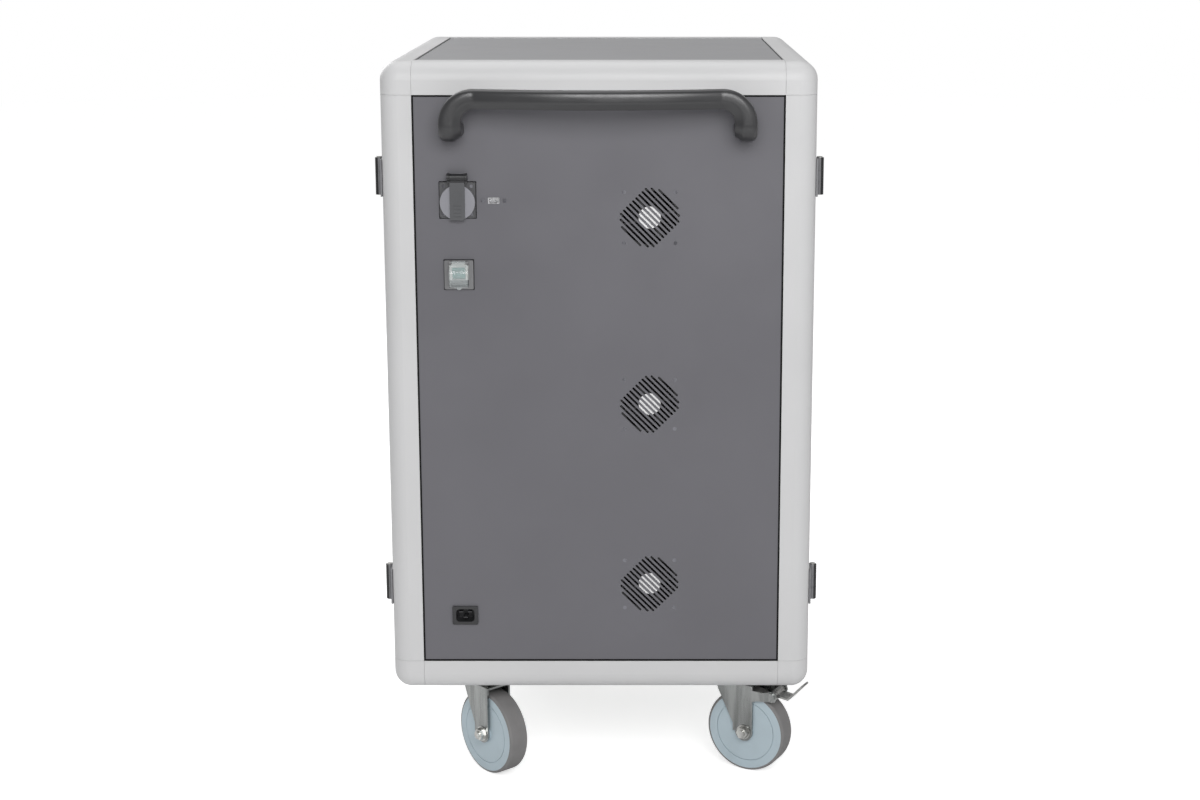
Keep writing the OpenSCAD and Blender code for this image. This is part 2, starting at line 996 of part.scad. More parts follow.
// Upright plate between two bays, its front top corner cut back
module divider_2d() {
    depth = shelf_x - divider_setback - partition_right - seat;
    polygon([
        [0, 0],
        [depth, 0],
        [depth, divider_h - divider_slope],
        [depth - divider_slope, divider_h],
        [0, divider_h]
    ]);
}

module divider_plates() {
    color(light_grey)
        for (i = [0 : tier_count - 1])
            for (k = [1 : bay_count - 1])
                translate([partition_right + seat, in_y0 + k * bay_pitch + sheet_t / 2, floor_z(i)])
                    rotate([90, 0, 0])
                        linear_extrude(sheet_t)
                            divider_2d();
}

module adapter_trays() {
    color(light_grey)
        for (i = [0 : tier_count - 1]) {
            difference() {
                span([-shelf_x, in_y0 + seat, floor_z(i) - sheet_t],
                     [partition_left - seat, in_y1 - seat, floor_z(i)]);
                if (i > 0)
                    trunk_hole(floor_z(i));
            }
            span([-shelf_x, in_y0 + seat, floor_z(i) - sheet_t],
                 [sheet_t - shelf_x, in_y1 - seat, floor_z(i) + tray_lip]);
        }
}

strip_y0 = in_y0 + strip_start;
strip_y1 = in_y1 - strip_end_gap;
function strip_z(i) = floor_z(i + 1) - strip_drop;

module power_strips() {
    pitch = (strip_y1 - strip_y0) / strip_sockets;
    color(black)
        for (i = [0 : tier_count - 1])
            difference() {
                span([partition_left - strip_w, strip_y0, strip_z(i) - strip_h / 2],
                     [partition_left, strip_y1, strip_z(i) + strip_h / 2]);
                for (k = [0 : strip_sockets - 1])
                    translate([partition_left - strip_w, strip_y0 + (k + 0.5) * pitch, strip_z(i)]) {
                        x_cylinder(strip_face_r, 2 * strip_face_depth);
                        for (s = [-1, 1])
                            translate([0, s * strip_pin_pitch / 2, 0])
                                x_cylinder(strip_pin_r, 2 * strip_pin_depth);
                    }
            }
}

control_x = (partition_left - in_x) / 2;
control_y0 = in_y0 + control_gap;

module control_box() {
    color(light_grey)
        span([control_x - control_w / 2, control_y0, ceiling_z],
             [control_x + control_w / 2, control_y0 + control_l, ceiling_z + control_h]);
}

// Round cable along straight stretches, with a ball at each bend
module cable(points) {
    for (i = [0 : len(points) - 2]) {
        run = points[i + 1] - points[i];
        length = norm(run);
        translate(points[i])
            rotate([0, acos(run[2] / length), atan2(run[1], run[0])])
                cylinder(r = cable_r, h = length);
        if (i > 0)
            translate(points[i])
                sphere(cable_r);
    }
}

module mains_cables() {
    outlet_top = outlet_z + well_r + well_wall;
    color(black) {
        cable([
            [inlet_x - inlet_body_w / 2, cable_y - cable_r, inlet_z],
            [inlet_cable_x, cable_y - cable_r, inlet_z],
            [inlet_cable_x, cable_y - cable_r, cable_bend_z],
            [inlet_cable_x, control_y0, cable_bend_z]
        ]);
        cable([
            [service_x, cable_y, outlet_top],
            [service_x, cable_y, cable_bend_z],
            [service_x, control_y0, cable_bend_z]
        ]);
        cable([
            [service_x + window_w / 2 - seat, cable_y, breaker_z],
            [breaker_cable_x, cable_y, breaker_z],
            [breaker_cable_x, cable_y, cable_bend_z],
            [breaker_cable_x, control_y0, cable_bend_z]
        ]);
        cable([
            [trunk_x, control_y0, cable_bend_z],
            [trunk_x, trunk_y, cable_bend_z],
            [trunk_x, trunk_y, strip_z(0)],
            [trunk_x, strip_y0, strip_z(0)]
        ]);
        for (i = [1 : tier_count - 1])
            cable([[trunk_x, trunk_y, strip_z(i)], [trunk_x, strip_y0, strip_z(i)]]);
    }
}

// Fans

// Places its children at a fan, with Z = 0 on the panel's inner face
module at_fan(i) {
    at_panel(fan_x, fan_z(i))
        translate([0, 0, -panel_t])
            children();
}

module fan_frame() {
    difference() {
        translate([0, 0, -fan_depth])
            linear_extrude(fan_depth)
                rounded_rect(fan_size, fan_size, fan_corner_r);
        translate([0, 0, -fan_depth - over])
            cylinder(r = fan_bore_r, h = fan_depth + 2 * over);
        square_pattern(fan_hole_pitch / 2)
            translate([0, 0, -fan_depth - over])
                cylinder(r = fan_screw_r, h = fan_depth + 2 * over);
    }
    difference() {
        union() {
            translate([0, 0, -seat - strut_t]) {
                cylinder(r = label_r, h = strut_t);
                for (a = strut_angles)
                    rotate(a)
                        translate([0, -strut_w / 2, 0])
                            cube([fan_bore_r + strut_w / 2, strut_w, strut_t]);
            }
            translate([0, 0, -seat - strut_t - boss_l])
                cylinder(r = boss_r, h = boss_l + over);
        }
        translate([0, 0, -fan_depth])
            cylinder(r = rotor_shaft_r + run_fit, h = fan_depth - seat - strut_t);
    }
}

module fan_frames() {
    color(black)
        for (i = [0 : tier_count - 1])
            at_fan(i)
                fan_frame();
}

module fan_rotor(i) {
    hub_top = -2 * seat - strut_t;
    hub_bottom = rotor_end_gap - fan_depth;
    blade_z = (hub_top + hub_bottom) / 2;
    tip_r = fan_bore_r - blade_tip_gap;
    color(black)
        at_fan(i) {
            difference() {
                translate([0, 0, hub_bottom])
                    cylinder(r = hub_r, h = hub_top - hub_bottom);
                translate([0, 0, hub_bottom + strut_t])
                    cylinder(r = boss_r + bend_clear, h = hub_top - hub_bottom);
            }
            translate([0, 0, hub_bottom])
                cylinder(r = rotor_shaft_r, h = hub_top - hub_bottom);
            intersection() {
                translate([0, 0, hub_bottom])
                    difference() {
                        cylinder(r = tip_r, h = hub_top - hub_bottom);
                        cylinder(r = boss_r + 2 * bend_clear, h = 3 * fan_depth, center = true);
                    }
                for (k = [0 : blade_count - 1])
                    rotate(360 * k / blade_count)
                        translate([(hub_r + tip_r) / 2, 0, blade_z])
                            rotate([blade_pitch, 0, 0])
                                cube([tip_r - hub_r + strut_w, blade_chord, blade_t], center = true);
            }
        }
}

// Flush screws of the fans, the data port's screws and the outlet's screws
module panel_screws() {
    color(dark_grey) {
        for (i = [0 : tier_count - 1])
            at_panel(fan_x, fan_z(i))
                square_pattern(fan_hole_pitch / 2) {
                    translate([0, 0, -screw_head_t])
                        cylinder(r1 = fan_screw_r, r2 = screw_head_r, h = screw_head_t);
                    translate([0, 0, -fan_screw_l])
                        cylinder(r = fan_screw_r, h = fan_screw_l - screw_head_t);
                }
        at_panel(port_x, port_z)
            for (s = [-1, 1])
                translate([s * port_screw_pitch / 2, 0, 0]) {
                    cylinder(r = port_head_r, h = port_head_t);
                    translate([0, 0, -panel_t - port_tab_t])
                        cylinder(r = port_screw_r, h = panel_t + port_tab_t);
                }
        at_panel(service_x, outlet_z)
            square_pattern(outlet_screw) {
                translate([0, 0, flange_t - over])
                    cylinder(r = outlet_head_r, h = over);
                translate([0, 0, -panel_t - outlet_screw_r])
                    cylinder(r = outlet_screw_r, h = panel_t + outlet_screw_r + flange_t - over);
            }
    }
}

// Outlet with its sprung flap

module outlet_socket() {
    ear_x = strap_w / 2 + seat;
    color(black)
        at_panel(service_x, outlet_z)
            difference() {
                union() {
                    linear_extrude(flange_t)
                        rounded_rect(outlet_size, outlet_size, flange_r);
                    translate([0, -flap_drop, flange_t])
                        cylinder(r = well_r + well_wall / 2, h = collar_t);
                    translate([0, 0, -outlet_depth])
                        cylinder(r = well_r + well_wall, h = outlet_depth);
                    for (s = [-1, 1])
                        translate([s * (ear_x + ear_w / 2), flap_axis_y, flap_axis_z])
                            x_cylinder(flap_barrel_r, ear_w);
                    for (s = [-1, 1])
                        translate([s * (ear_x + ear_w / 2) - ear_w / 2, outlet_size / 2 - over, 0])
                            cube([ear_w, flap_axis_y + flap_barrel_r + over - outlet_size / 2,
                                  flap_axis_z]);
                }
                translate([0, 0, -well_depth])
                    cylinder(r = well_r, h = well_depth + flange_t + 2 * over);
                for (s = [-1, 1])
                    translate([s * outlet_pin_pitch / 2, 0, -well_depth - outlet_pin_depth])
                        cylinder(r = outlet_pin_r, h = outlet_pin_depth + over);
                square_pattern(outlet_screw) {
                    translate([0, 0, flange_t - over])
                        cylinder(r = outlet_head_r, h = 2 * over);
                    translate([0, 0, -over])
                        cylinder(r = outlet_screw_r, h = flange_t + over);
                }
                translate([0, flap_axis_y, flap_axis_z])
                    x_cylinder(flap_pin_r + run_fit, strap_w + 4 * ear_w);
            }
}

module outlet_flap() {
    disc_z = flange_t + collar_t + flap_gap;
    strap_low = -flap_r - flap_drop;
    color(flap_grey)
        at_panel(service_x, outlet_z)
            difference() {
                union() {
                    translate([0, -flap_drop, disc_z])
                        cylinder(r = flap_r, h = flap_t);
                    translate([-strap_w / 2, strap_low, disc_z])
                        cube([strap_w, flap_axis_y - strap_low, strap_t]);
                    translate([0, flap_axis_y, flap_axis_z])
                        x_cylinder(flap_barrel_r - seat, strap_w);
                    translate([0, flap_axis_y, flap_axis_z])
                        x_cylinder(flap_pin_r, strap_w + 2 * ear_w);
                }
                for (k = [0 : rib_count - 1])
                    translate([0, strap_low + rib_pitch * (k + 1), disc_z + strap_t])
                        cube([strap_w / 2, rib_w, 2 * rib_depth], center = true);
            }
}

module data_port() {
    color(zinc)
        at_panel(port_x, port_z)
            difference() {
                union() {
                    translate([0, 0, -panel_t])
                        linear_extrude(panel_t + port_proud)
                            rounded_rect(port_w, port_h, port_r);
                    translate([0, 0, -panel_t - port_tab_t])
                        linear_extrude(port_tab_t)
                            rounded_rect(port_tab_w, port_tab_h, port_r);
                    translate([0, 0, -panel_t - port_depth])
                        linear_extrude(port_depth)
                            square([port_body_w, port_body_h], center = true);
                }
                difference() {
                    translate([0, 0, port_proud - port_mouth_depth])
                        linear_extrude(port_mouth_depth + over)
                            square([port_mouth_w, port_mouth_h], center = true);
                    translate([0, (port_mouth_h - port_tongue_h) / 2 - seat, -port_mouth_depth - over])
                        linear_extrude(port_mouth_depth)
                            square([port_tongue_w, port_tongue_h], center = true);
                }
                for (s = [-1, 1])
                    translate([s * port_screw_pitch / 2, 0, -panel_t - port_tab_t - over])
                        cylinder(r = port_screw_r, h = port_tab_t + over);
            }
}

// Breaker behind its hinged window

module breaker_frame() {
    color(dark_grey)
        at_panel(service_x, breaker_z)
            difference() {
                union() {
                    linear_extrude(breaker_flange_t)
                        rounded_rect(breaker_w, breaker_h, breaker_r);
                    translate([0, 0, -neck_depth])
                        linear_extrude(neck_depth)
                            square([window_w + 2 * neck_wall, window_h + 2 * neck_wall], center = true);
                    for (s = [-1, 1])
                        translate([s * (cover_w / 2 - lug_w / 2 + seat), cover_axis_y, 0]) {
                            translate([0, 0, cover_axis_z])
                                x_cylinder(lug_r, lug_w);
                            translate([-lug_w / 2, -lug_r, 0])
                                cube([lug_w, 2 * lug_r, cover_axis_z]);
                        }
                }
                translate([0, 0, -neck_depth - over])
                    linear_extrude(neck_depth + breaker_flange_t + over)
                        window_2d();
                translate([0, 0, breaker_flange_t - over / 2])
                    linear_extrude(over)
                        translate([0, -lug_r])
                            square([window_w, window_h - 2 * lug_r], center = true);
                translate([0, cover_axis_y, cover_axis_z])
                    x_cylinder(cover_pin_r + run_fit, cover_w + 2 * lug_w);
            }
}

module window_2d() {
    square([window_w, window_h], center = true);
}

module breaker_body() {
    color(white)
        at_panel(service_x, breaker_z)
            difference() {
                translate([0, 0, -breaker_depth])
                    linear_extrude(breaker_depth + breaker_front)
                        square([window_w - 2 * seat, window_h - 2 * seat], center = true);
                translate([0, 0, drum_z]) {
                    x_cylinder(drum_r + seat, drum_w + 2 * seat);
                    x_cylinder(toggle_pin_r + run_fit, drum_w + 2 * (seat + toggle_pin_l));
                    linear_extrude(breaker_front - drum_z + over)
                        square([drum_w + 2 * seat, 2 * (drum_r + seat)], center = true);
                }
            }
}

module breaker_toggle() {
    color(teal)
        at_panel(service_x, breaker_z)
            translate([0, 0, drum_z]) {
                x_cylinder(drum_r, drum_w);
                x_cylinder(toggle_pin_r, drum_w + 2 * toggle_pin_l);
                rotate([-lever_angle, 0, 0])
                    translate([-drum_w / 2, -lever_t / 2, 0])
                        cube([drum_w, lever_t, lever_l]);
            }
}

// Curved window, hollow behind, on two pins at its top edge
module breaker_cover() {
    base = breaker_flange_t + seat;
    half = (cover_axis_y - cover_bottom) / 2;
    curve_r = (half * half + cover_rise * cover_rise) / (2 * cover_rise);
    centre_y = (cover_axis_y + cover_bottom) / 2;
    centre_z = base + cover_rise - curve_r;
    neck_w = cover_w - 2 * lug_w;
    neck_y = cover_axis_y - lug_r - bend_clear;
    color(teal)
        at_panel(service_x, breaker_z) {
            intersection() {
                difference() {
                    translate([0, centre_y, centre_z])
                        x_cylinder(curve_r, cover_w);
                    translate([0, centre_y, centre_z])
                        x_cylinder(curve_r - cover_wall, cover_w - 2 * cover_wall);
                }
                union() {
                    span([-cover_w / 2, cover_bottom, base], [cover_w / 2, neck_y, base + cover_rise]);
                    span([-neck_w / 2, neck_y - over, base],
                         [neck_w / 2, cover_axis_y, base + cover_rise]);
                }
            }
            translate([0, cover_axis_y, cover_axis_z]) {
                x_cylinder(cover_knuckle_r, neck_w);
                x_cylinder(cover_pin_r, cover_w + seat);
            }
            translate([0, cover_bottom + cover_wall, base])
                intersection() {
                    cylinder(r = tab_r, h = tab_t);
                    translate([-tab_r, -tab_r, 0])
                        cube([2 * tab_r, tab_r, tab_t]);
                }
        }
}

module power_inlet() {
    color(black)
        at_panel(inlet_x, inlet_z) {
            difference() {
                union() {
                    linear_extrude(inlet_flange_t)
                        rounded_rect(inlet_w, inlet_h, breaker_r);
                    translate([0, 0, -inlet_depth])
                        linear_extrude(inlet_depth)
                            square([inlet_body_w, inlet_body_h], center = true);
                }
                translate([0, 0, inlet_flange_t - cavity_depth])
                    linear_extrude(cavity_depth + over)
                        rounded_rect(cavity_w, cavity_h, cavity_r);
            }
            for (p = [[-blade_pin_x, blade_pin_up], [blade_pin_x, blade_pin_up], [0, blade_pin_down]])
                translate([p[0], p[1], inlet_flange_t - cavity_depth - over])
                    linear_extrude(blade_pin_l + over)
                        square([blade_pin_w, blade_pin_h], center = true);
        }
}

// Doors with their hinges and locks, drawn on the right side of the cart

// Knuckle between two heights, on the hinge axis
module knuckle(z0, z1) {
    translate([hinge_x, hinge_y, z0])
        cylinder(r = knuckle_r, h = z1 - z0);
}

module hinge_frame_leaf(z) {
    low = z - hinge_h / 2;
    high = z + hinge_h / 2;
    difference() {
        union() {
            span([x_out, hinge_y - leaf_w, low], [x_out + leaf_t, hinge_y - leaf_clear, high]);
            for (end = [[low, low + knuckle_h], [high - knuckle_h, high]]) {
                span([x_out, hinge_y - leaf_clear - over, end[0]], [x_out + leaf_t, hinge_y, end[1]]);
                knuckle(end[0], end[1]);
            }
        }
        translate([hinge_x, hinge_y, low - over])
            cylinder(r = hinge_pin_r, h = hinge_h + 2 * over);
    }
}

module hinge_door_leaf(z) {
    low = z - knuckle_h / 2 + seat;
    high = z + knuckle_h / 2 - seat;
    difference() {
        union() {
            span([x_out, hinge_y + leaf_clear, z - hinge_h / 2],
                 [x_out + leaf_t, hinge_y + leaf_w, z + hinge_h / 2]);
            span([x_out, hinge_y, low], [x_out + leaf_t, hinge_y + leaf_clear + over, high]);
            knuckle(low, high);
        }
        translate([hinge_x, hinge_y, low - over])
            cylinder(r = hinge_pin_r + run_fit, h = hinge_h);
    }
}

module hinge_frame_leaves() {
    color(black)
        for (s = [-1, 1])
            for (z = hinge_zs)
                on_side(s)
                    hinge_frame_leaf(z);
}

module hinge_pins() {
    color(zinc)
        for (s = [-1, 1])
            for (z = hinge_zs)
                on_side(s)
                    translate([hinge_x, hinge_y, z - hinge_h / 2]) {
                        cylinder(r = hinge_pin_r, h = hinge_h);
                        translate([0, 0, hinge_h])
                            cylinder(r = pin_head_r, h = pin_head_t);
                    }
}

// Folded sheet door: outer sheet, returned edges and an inner flange
module door(s) {
    color(dark_grey)
        on_side(s)
            difference() {
                span([x_out - door_t, door_y0, door_z0], [x_out, door_y1, door_z1]);
                span([x_out - door_t + panel_t, door_y0 + panel_t, door_z0 + panel_t],
                     [x_out - panel_t, door_y1 - panel_t, door_z1 - panel_t]);
                span([x_out - door_t - over, door_y0 + door_flange, door_z0 + door_flange],
                     [x_out - door_t / 2, door_y1 - door_flange, door_z1 - door_flange]);
                translate([x_out, lock_y, lock_z])
                    x_cylinder(barrel_r, 2 * panel_t + over);
                for (i = [0 : tier_count - 1])
                    for (k = [0 : vent_count - 1])
                        translate([x_out, mid_y, fan_z(i) + (k - (vent_count - 1) / 2) * vent_pitch])
                            rotate([90, 0, 90])
                                linear_extrude(2 * panel_t + over, center = true)
                                    slot_2d(vent_l, vent_w);
            }
}

module door_leaves(s) {
    color(black)
        for (z = hinge_zs)
            on_side(s)
                hinge_door_leaf(z);
}

module lock_barrel(s) {
    color(zinc)
        on_side(s)
            translate([x_out, lock_y, lock_z])
                rotate([0, 90, 0])
                    difference() {
                        union() {
                            cylinder(r = rose_r, h = rose_t);
                            translate([0, 0, -door_t])
                                cylinder(r = barrel_r, h = door_t);
                        }
                        translate([0, 0, -door_t - over])
                            cylinder(r = lock_r + run_fit, h = door_t + rose_t + 2 * over);
                    }
}

// Plug with a grip bar outside and an upright cam behind the door
module lock_plug(s) {
    color(zinc)
        on_side(s)
            translate([x_out, lock_y, lock_z]) {
                rotate([0, 90, 0])
                    translate([0, 0, -cam_depth - cam_t])
                        cylinder(r = lock_r, h = cam_depth + cam_t + rose_t + knob_h / 2);
                span([rose_t + seat, -knob_t / 2, bend_clear - rose_r],
                     [rose_t + knob_h, knob_t / 2, rose_r - bend_clear]);
                span([-cam_depth - cam_t, -cam_w / 2, 0], [-cam_depth, cam_w / 2, cam_l]);
            }
}

// Casters

module at_caster(i) {
    translate([CASTERS[i][0], CASTERS[i][1], 0])
        rotate(CASTERS[i][2])
            children();
}

module bolt_pattern() {
    for (sx = [-1, 1])
        for (sy = [-1, 1])
            translate([sx * bolt_pitch_x / 2, sy * bolt_pitch_y / 2, 0])
                children();
}

// Mounting plate with its bearing cup and the king pin that the fork turns on
module caster_plates() {
    color(zinc)
        for (c = CASTERS)
            translate([c[0], c[1], 0]) {
                difference() {
                    translate([0, 0, caster_h - plate_t])
                        linear_extrude(plate_t)
                            rounded_rect(plate_w, plate_l, plate_r);
                    translate([0, 0, caster_h - plate_t - over])
                        bolt_pattern()
                            cylinder(r = bolt_hole_r, h = plate_t + 2 * over);
                }
                translate([0, 0, cup_bottom])
                    cylinder(r = cup_r, h = cup_t);
                translate([0, 0, king_bottom])
                    cylinder(r = king_r, h = cup_bottom - king_bottom);
                translate([0, 0, king_bottom])
                    cylinder(r = king_head_r, h = king_head_t);
            }
}

module caster_bolts() {
    grip = plate_t + base_t + channel_t;
    color(zinc)
        for (c = CASTERS)
            translate([c[0], c[1], caster_h - plate_t])
                bolt_pattern() {
                    translate([0, 0, -bolt_head_t])
                        hex_prism(bolt_head_r, bolt_head_t);
                    cylinder(r = bolt_r, h = grip + nut_t + thread_end);
                    translate([0, 0, grip])
                        hex_prism(bolt_head_r, nut_t);
                }
}

// Flat of a fork leg, from its bridge down to its round foot at the axle
module leg_2d() {
    translate([ridge_x, wheel_r])
        square([bridge_x1 - ridge_x, crown_bottom - wheel_r]);
    translate([trail, wheel_r])
        circle(leg_foot_r);
}

// Leading part of a leg, measured back from the ridge
module lead_2d() {
    polygon([
        [0, crown_bottom],
        [-lead_top_back, crown_bottom],
        [-lead_mid_back, crown_bottom - lead_mid_drop],
        [-over, wheel_r + lead_low_rise],
        [0, wheel_r + lead_low_rise]
    ]);
}

module brake_ear_2d() {
    translate([pedal_x, pedal_z])
        polygon(brake_ear);
}

// Sheet standing in the XZ plane, its outer face at the leg's outer side
module leg_sheet() {
    translate([0, -leg_in, 0])
        rotate([90, 0, 0])
            linear_extrude(leg_t)
                children();
}

module fork(i, braked) {
    color(zinc)
        at_caster(i)
            difference() {
                union() {
                    translate([0, 0, crown_bottom])
                        cylinder(r = crown_r, h = crown_t);
                    translate([0, 0, bridge_bottom])
                        cylinder(r = crown_r - 2 * leg_t, h = bridge_t);
                    span([bridge_x0, -leg_out, bridge_bottom], [bridge_x1, leg_out, crown_bottom]);
                    for (s = [0, 1])
                        mirror([0, s, 0]) {
                            leg_sheet()
                                leg_2d();
                            translate([ridge_x + over, fold_inset - leg_out, 0])
                                rotate(-leg_lead_angle)
                                    translate([0, leg_t, 0])
                                        rotate([90, 0, 0])
                                            linear_extrude(leg_t)
                                                lead_2d();
                            if (braked)
                                leg_sheet()
                                    brake_ear_2d();
                        }
                    if (braked)
                        translate([pedal_x, 0, pedal_z])
                            rotate([90, 0, 0]) {
                                cylinder(r = pedal_pin_r, h = 2 * leg_out, center = true);
                                for (s = [0, 1])
                                    mirror([0, 0, s])
                                        translate([0, 0, leg_out])
                                            cylinder(r = pedal_head_r, h = pedal_head_t);
                            }
                }
                translate([0, 0, bridge_bottom - over])
                    cylinder(r = king_r + run_fit, h = bridge_t + crown_t + 2 * over);
                translate([trail, 0, wheel_r])
                    rotate([90, 0, 0])
                        cylinder(r = axle_r, h = 3 * leg_out, center = true);
            }
}

// Places its children at a wheel's middle, with Z along the axle
module at_axle(i) {
    at_caster(i)
        translate([trail, 0, wheel_r])
            rotate([90, 0, 0])
                children();
}

module axle(i) {
    color(zinc)
        at_axle(i) {
            cylinder(r = axle_r, h = 2 * (leg_out + axle_washer_t + axle_nut_t + axle_end), center = true);
            for (s = [0, 1])
                mirror([0, 0, s])
                    translate([0, 0, leg_out]) {
                        cylinder(r = axle_washer_r, h = axle_washer_t);
                        translate([0, 0, axle_washer_t])
                            hex_prism(axle_nut_r, axle_nut_t);
                    }
        }
}

module wheel(i) {
    half = wheel_w / 2;
    color(wheel_blue)
        at_axle(i)
            rotate_extrude()
                difference() {
                    union() {
                        translate([axle_r + run_fit, -half])
                            square([core_seat_r - axle_r - run_fit, wheel_w]);
                        for (s = [-1, 1])
                            translate([core_seat_r - over, s > 0 ? half - core_rim_t : -half])
                                square([core_rim_r - core_seat_r + over, core_rim_t]);
                        translate([axle_r + run_fit, seat - half - leg_gap])
                            square([hub_boss_r - axle_r - run_fit, wheel_w + 2 * (leg_gap - seat)]);
                    }
                    for (s = [-1, 1])
                        translate([groove_r - groove_w / 2, s > 0 ? half - groove_depth : -half - over])
                            square([groove_w, groove_depth + over]);
                }
}

module tyre(i) {
    half = wheel_w / 2;
    color(tread_grey)
        at_axle(i)
            rotate_extrude()
                difference() {
                    union() {
                        translate([core_seat_r, shoulder_r - half])
                            square([wheel_r - core_seat_r, wheel_w - 2 * shoulder_r]);
                        translate([core_seat_r, -half])
                            square([wheel_r - shoulder_r - core_seat_r, wheel_w]);
                        for (s = [-1, 1])
                            translate([wheel_r - shoulder_r, s * (half - shoulder_r)])
                                circle(shoulder_r);
                    }
                    for (s = [-1, 1])
                        translate([core_seat_r - over, s > 0 ? half - core_rim_t : -half - over])
                            square([core_rim_r - core_seat_r + over, core_rim_t + over]);
                }
}

// Brake pedal: hub, cam arm towards the wheel, and a foot plate bent up at its end
module pedal(i) {
    color(zinc)
        at_caster(i)
            translate([pedal_x, 0, pedal_z])
                rotate([90, 0, 0])
                    difference() {
                        union() {
                            cylinder(r = pedal_hub_r, h = 2 * (leg_in - seat), center = true);
                            linear_extrude(pedal_w, center = true) {
                                strip_2d([0, 0], pedal_cam / 2, pedal_cam);
                                strip_2d([0, 0], pedal_bend, pedal_tip);
                            }
                        }
                        cylinder(r = pedal_pin_r + run_fit, h = 2 * leg_out, center = true);
                    }
}

function unit(v) = v / norm(v);
function normal(v) = [-v[1], v[0]];

// Strip of the pedal's thickness along two straight runs through three points
module strip_2d(a, b, c) {
    n = normal(unit(b - a)) * pedal_t / 2;
    m = normal(unit(c - b)) * pedal_t / 2;
    k = (n + m) / (1 + n * m / (n * n));
    polygon([a + n, b + k, c + m, c - m, b - k, a - n]);
}

frame_posts();
frame_top_rails();
frame_bottom_rails();
frame_corners();
base_plate();
top_panel();
handle_end_panel();
far_end_panel();
push_handle();
handle_bolts();
partition_wall();
device_shelves();
divider_plates();
adapter_trays();
power_strips();
control_box();
mains_cables();
fan_frames();
fan_rotor(0);  // fan_rotor_low
fan_rotor(1);  // fan_rotor_mid
fan_rotor(2);  // fan_rotor_high
panel_screws();
outlet_socket();
outlet_flap();
data_port();
breaker_frame();
breaker_body();
breaker_toggle();
breaker_cover();
power_inlet();
hinge_frame_leaves();
hinge_pins();
door(1);  // front_door
door_leaves(1);  // front_door_leaves
lock_barrel(1);  // front_lock_barrel
lock_plug(1);  // front_lock_plug
door(-1);  // rear_door
door_leaves(-1);  // rear_door_leaves
lock_barrel(-1);  // rear_lock_barrel
lock_plug(-1);  // rear_lock_plug
caster_plates();
caster_bolts();
fork(0, false);  // fork_near_left
axle(0);  // axle_near_left
wheel(0);  // wheel_near_left
tyre(0);  // tyre_near_left
fork(1, true);  // fork_near_right
axle(1);  // axle_near_right
wheel(1);  // wheel_near_right
tyre(1);  // tyre_near_right
fork(2, false);  // fork_far_left
axle(2);  // axle_far_left
wheel(2);  // wheel_far_left
tyre(2);  // tyre_far_left
fork(3, true);  // fork_far_right
axle(3);  // axle_far_right
wheel(3);  // wheel_far_right
tyre(3);  // tyre_far_right
pedal(1);  // pedal_near_right
pedal(3);  // pedal_far_right
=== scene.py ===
"""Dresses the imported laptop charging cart: finishes for its solids, fine pieces, and the stage."""

import json
import math

import bmesh
import bpy
import numpy as np
from bpy.props import FloatProperty, FloatVectorProperty, IntProperty, PointerProperty
from mathutils import Euler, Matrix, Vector


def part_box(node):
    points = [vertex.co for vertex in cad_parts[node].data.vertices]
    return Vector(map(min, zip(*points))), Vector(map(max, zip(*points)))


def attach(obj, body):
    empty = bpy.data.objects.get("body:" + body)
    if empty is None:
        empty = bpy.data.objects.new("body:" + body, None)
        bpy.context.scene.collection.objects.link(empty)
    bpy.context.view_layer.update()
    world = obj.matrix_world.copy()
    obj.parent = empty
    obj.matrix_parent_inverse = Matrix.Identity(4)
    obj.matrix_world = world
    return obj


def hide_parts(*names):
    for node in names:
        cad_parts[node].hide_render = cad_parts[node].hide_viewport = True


bl_info = {
    "name": "Charging Cart Dressing",
    "version": (1, 0, 0),
    "blender": (4, 5, 0),
    "location": "3D View > Sidebar > Cart",
    "description": "Finishes, fine pieces and studio for the laptop charging cart",
    "category": "Object",
}

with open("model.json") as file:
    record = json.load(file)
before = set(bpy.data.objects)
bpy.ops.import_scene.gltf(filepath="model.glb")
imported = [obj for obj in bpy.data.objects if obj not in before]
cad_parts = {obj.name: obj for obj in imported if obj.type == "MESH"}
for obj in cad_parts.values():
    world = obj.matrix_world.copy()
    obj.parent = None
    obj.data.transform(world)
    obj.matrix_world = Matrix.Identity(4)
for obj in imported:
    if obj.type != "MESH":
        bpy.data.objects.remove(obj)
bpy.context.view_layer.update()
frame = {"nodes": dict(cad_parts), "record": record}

MM = 0.001
ROOT = "cart"
TIERS = ("low", "mid", "high")


def node_box(name):
    """Lowest and highest corner of a node as numpy arrays, in metres."""
    low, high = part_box(name)
    return np.array(low), np.array(high)


# Settings


def tint(name, text, default):
    """Colour setting in linear light."""
    return FloatVectorProperty(
        name=name,
        description=text,
        default=default,
        subtype="COLOR",
        size=3,
        min=0,
        max=1,
    )


def size(name, text, default):
    """Length setting in metres."""
    return FloatProperty(name=name, description=text, default=default, unit="LENGTH", min=0)


def watts(name, text, default):
    """Power setting in watts."""
    return FloatProperty(name=name, description=text, default=default, unit="POWER", min=0)


class CartColours(bpy.types.PropertyGroup):
    """Main colours of the cart."""

    frame_grey: tint("Frame", "Powder coat of the frame profiles", (0.585, 0.585, 0.59))
    panel_grey: tint("Panels", "Powder coat of the end panels and doors", (0.128, 0.126, 0.140))
    top_grey: tint("Top", "Powder coat of the top panel", (0.27, 0.27, 0.28))
    handle_black: tint("Handle", "Moulded push handle", (0.016, 0.016, 0.018))
    wheel_blue: tint("Wheels", "Moulded wheel bodies", (0.46, 0.55, 0.60))
    tread_grey: tint("Treads", "Soft tyres", (0.21, 0.205, 0.205))
    flap_grey: tint("Flap", "Outlet flap", (0.25, 0.25, 0.275))
    toggle_teal: tint("Toggle", "Breaker toggle", (0.06, 0.22, 0.20))


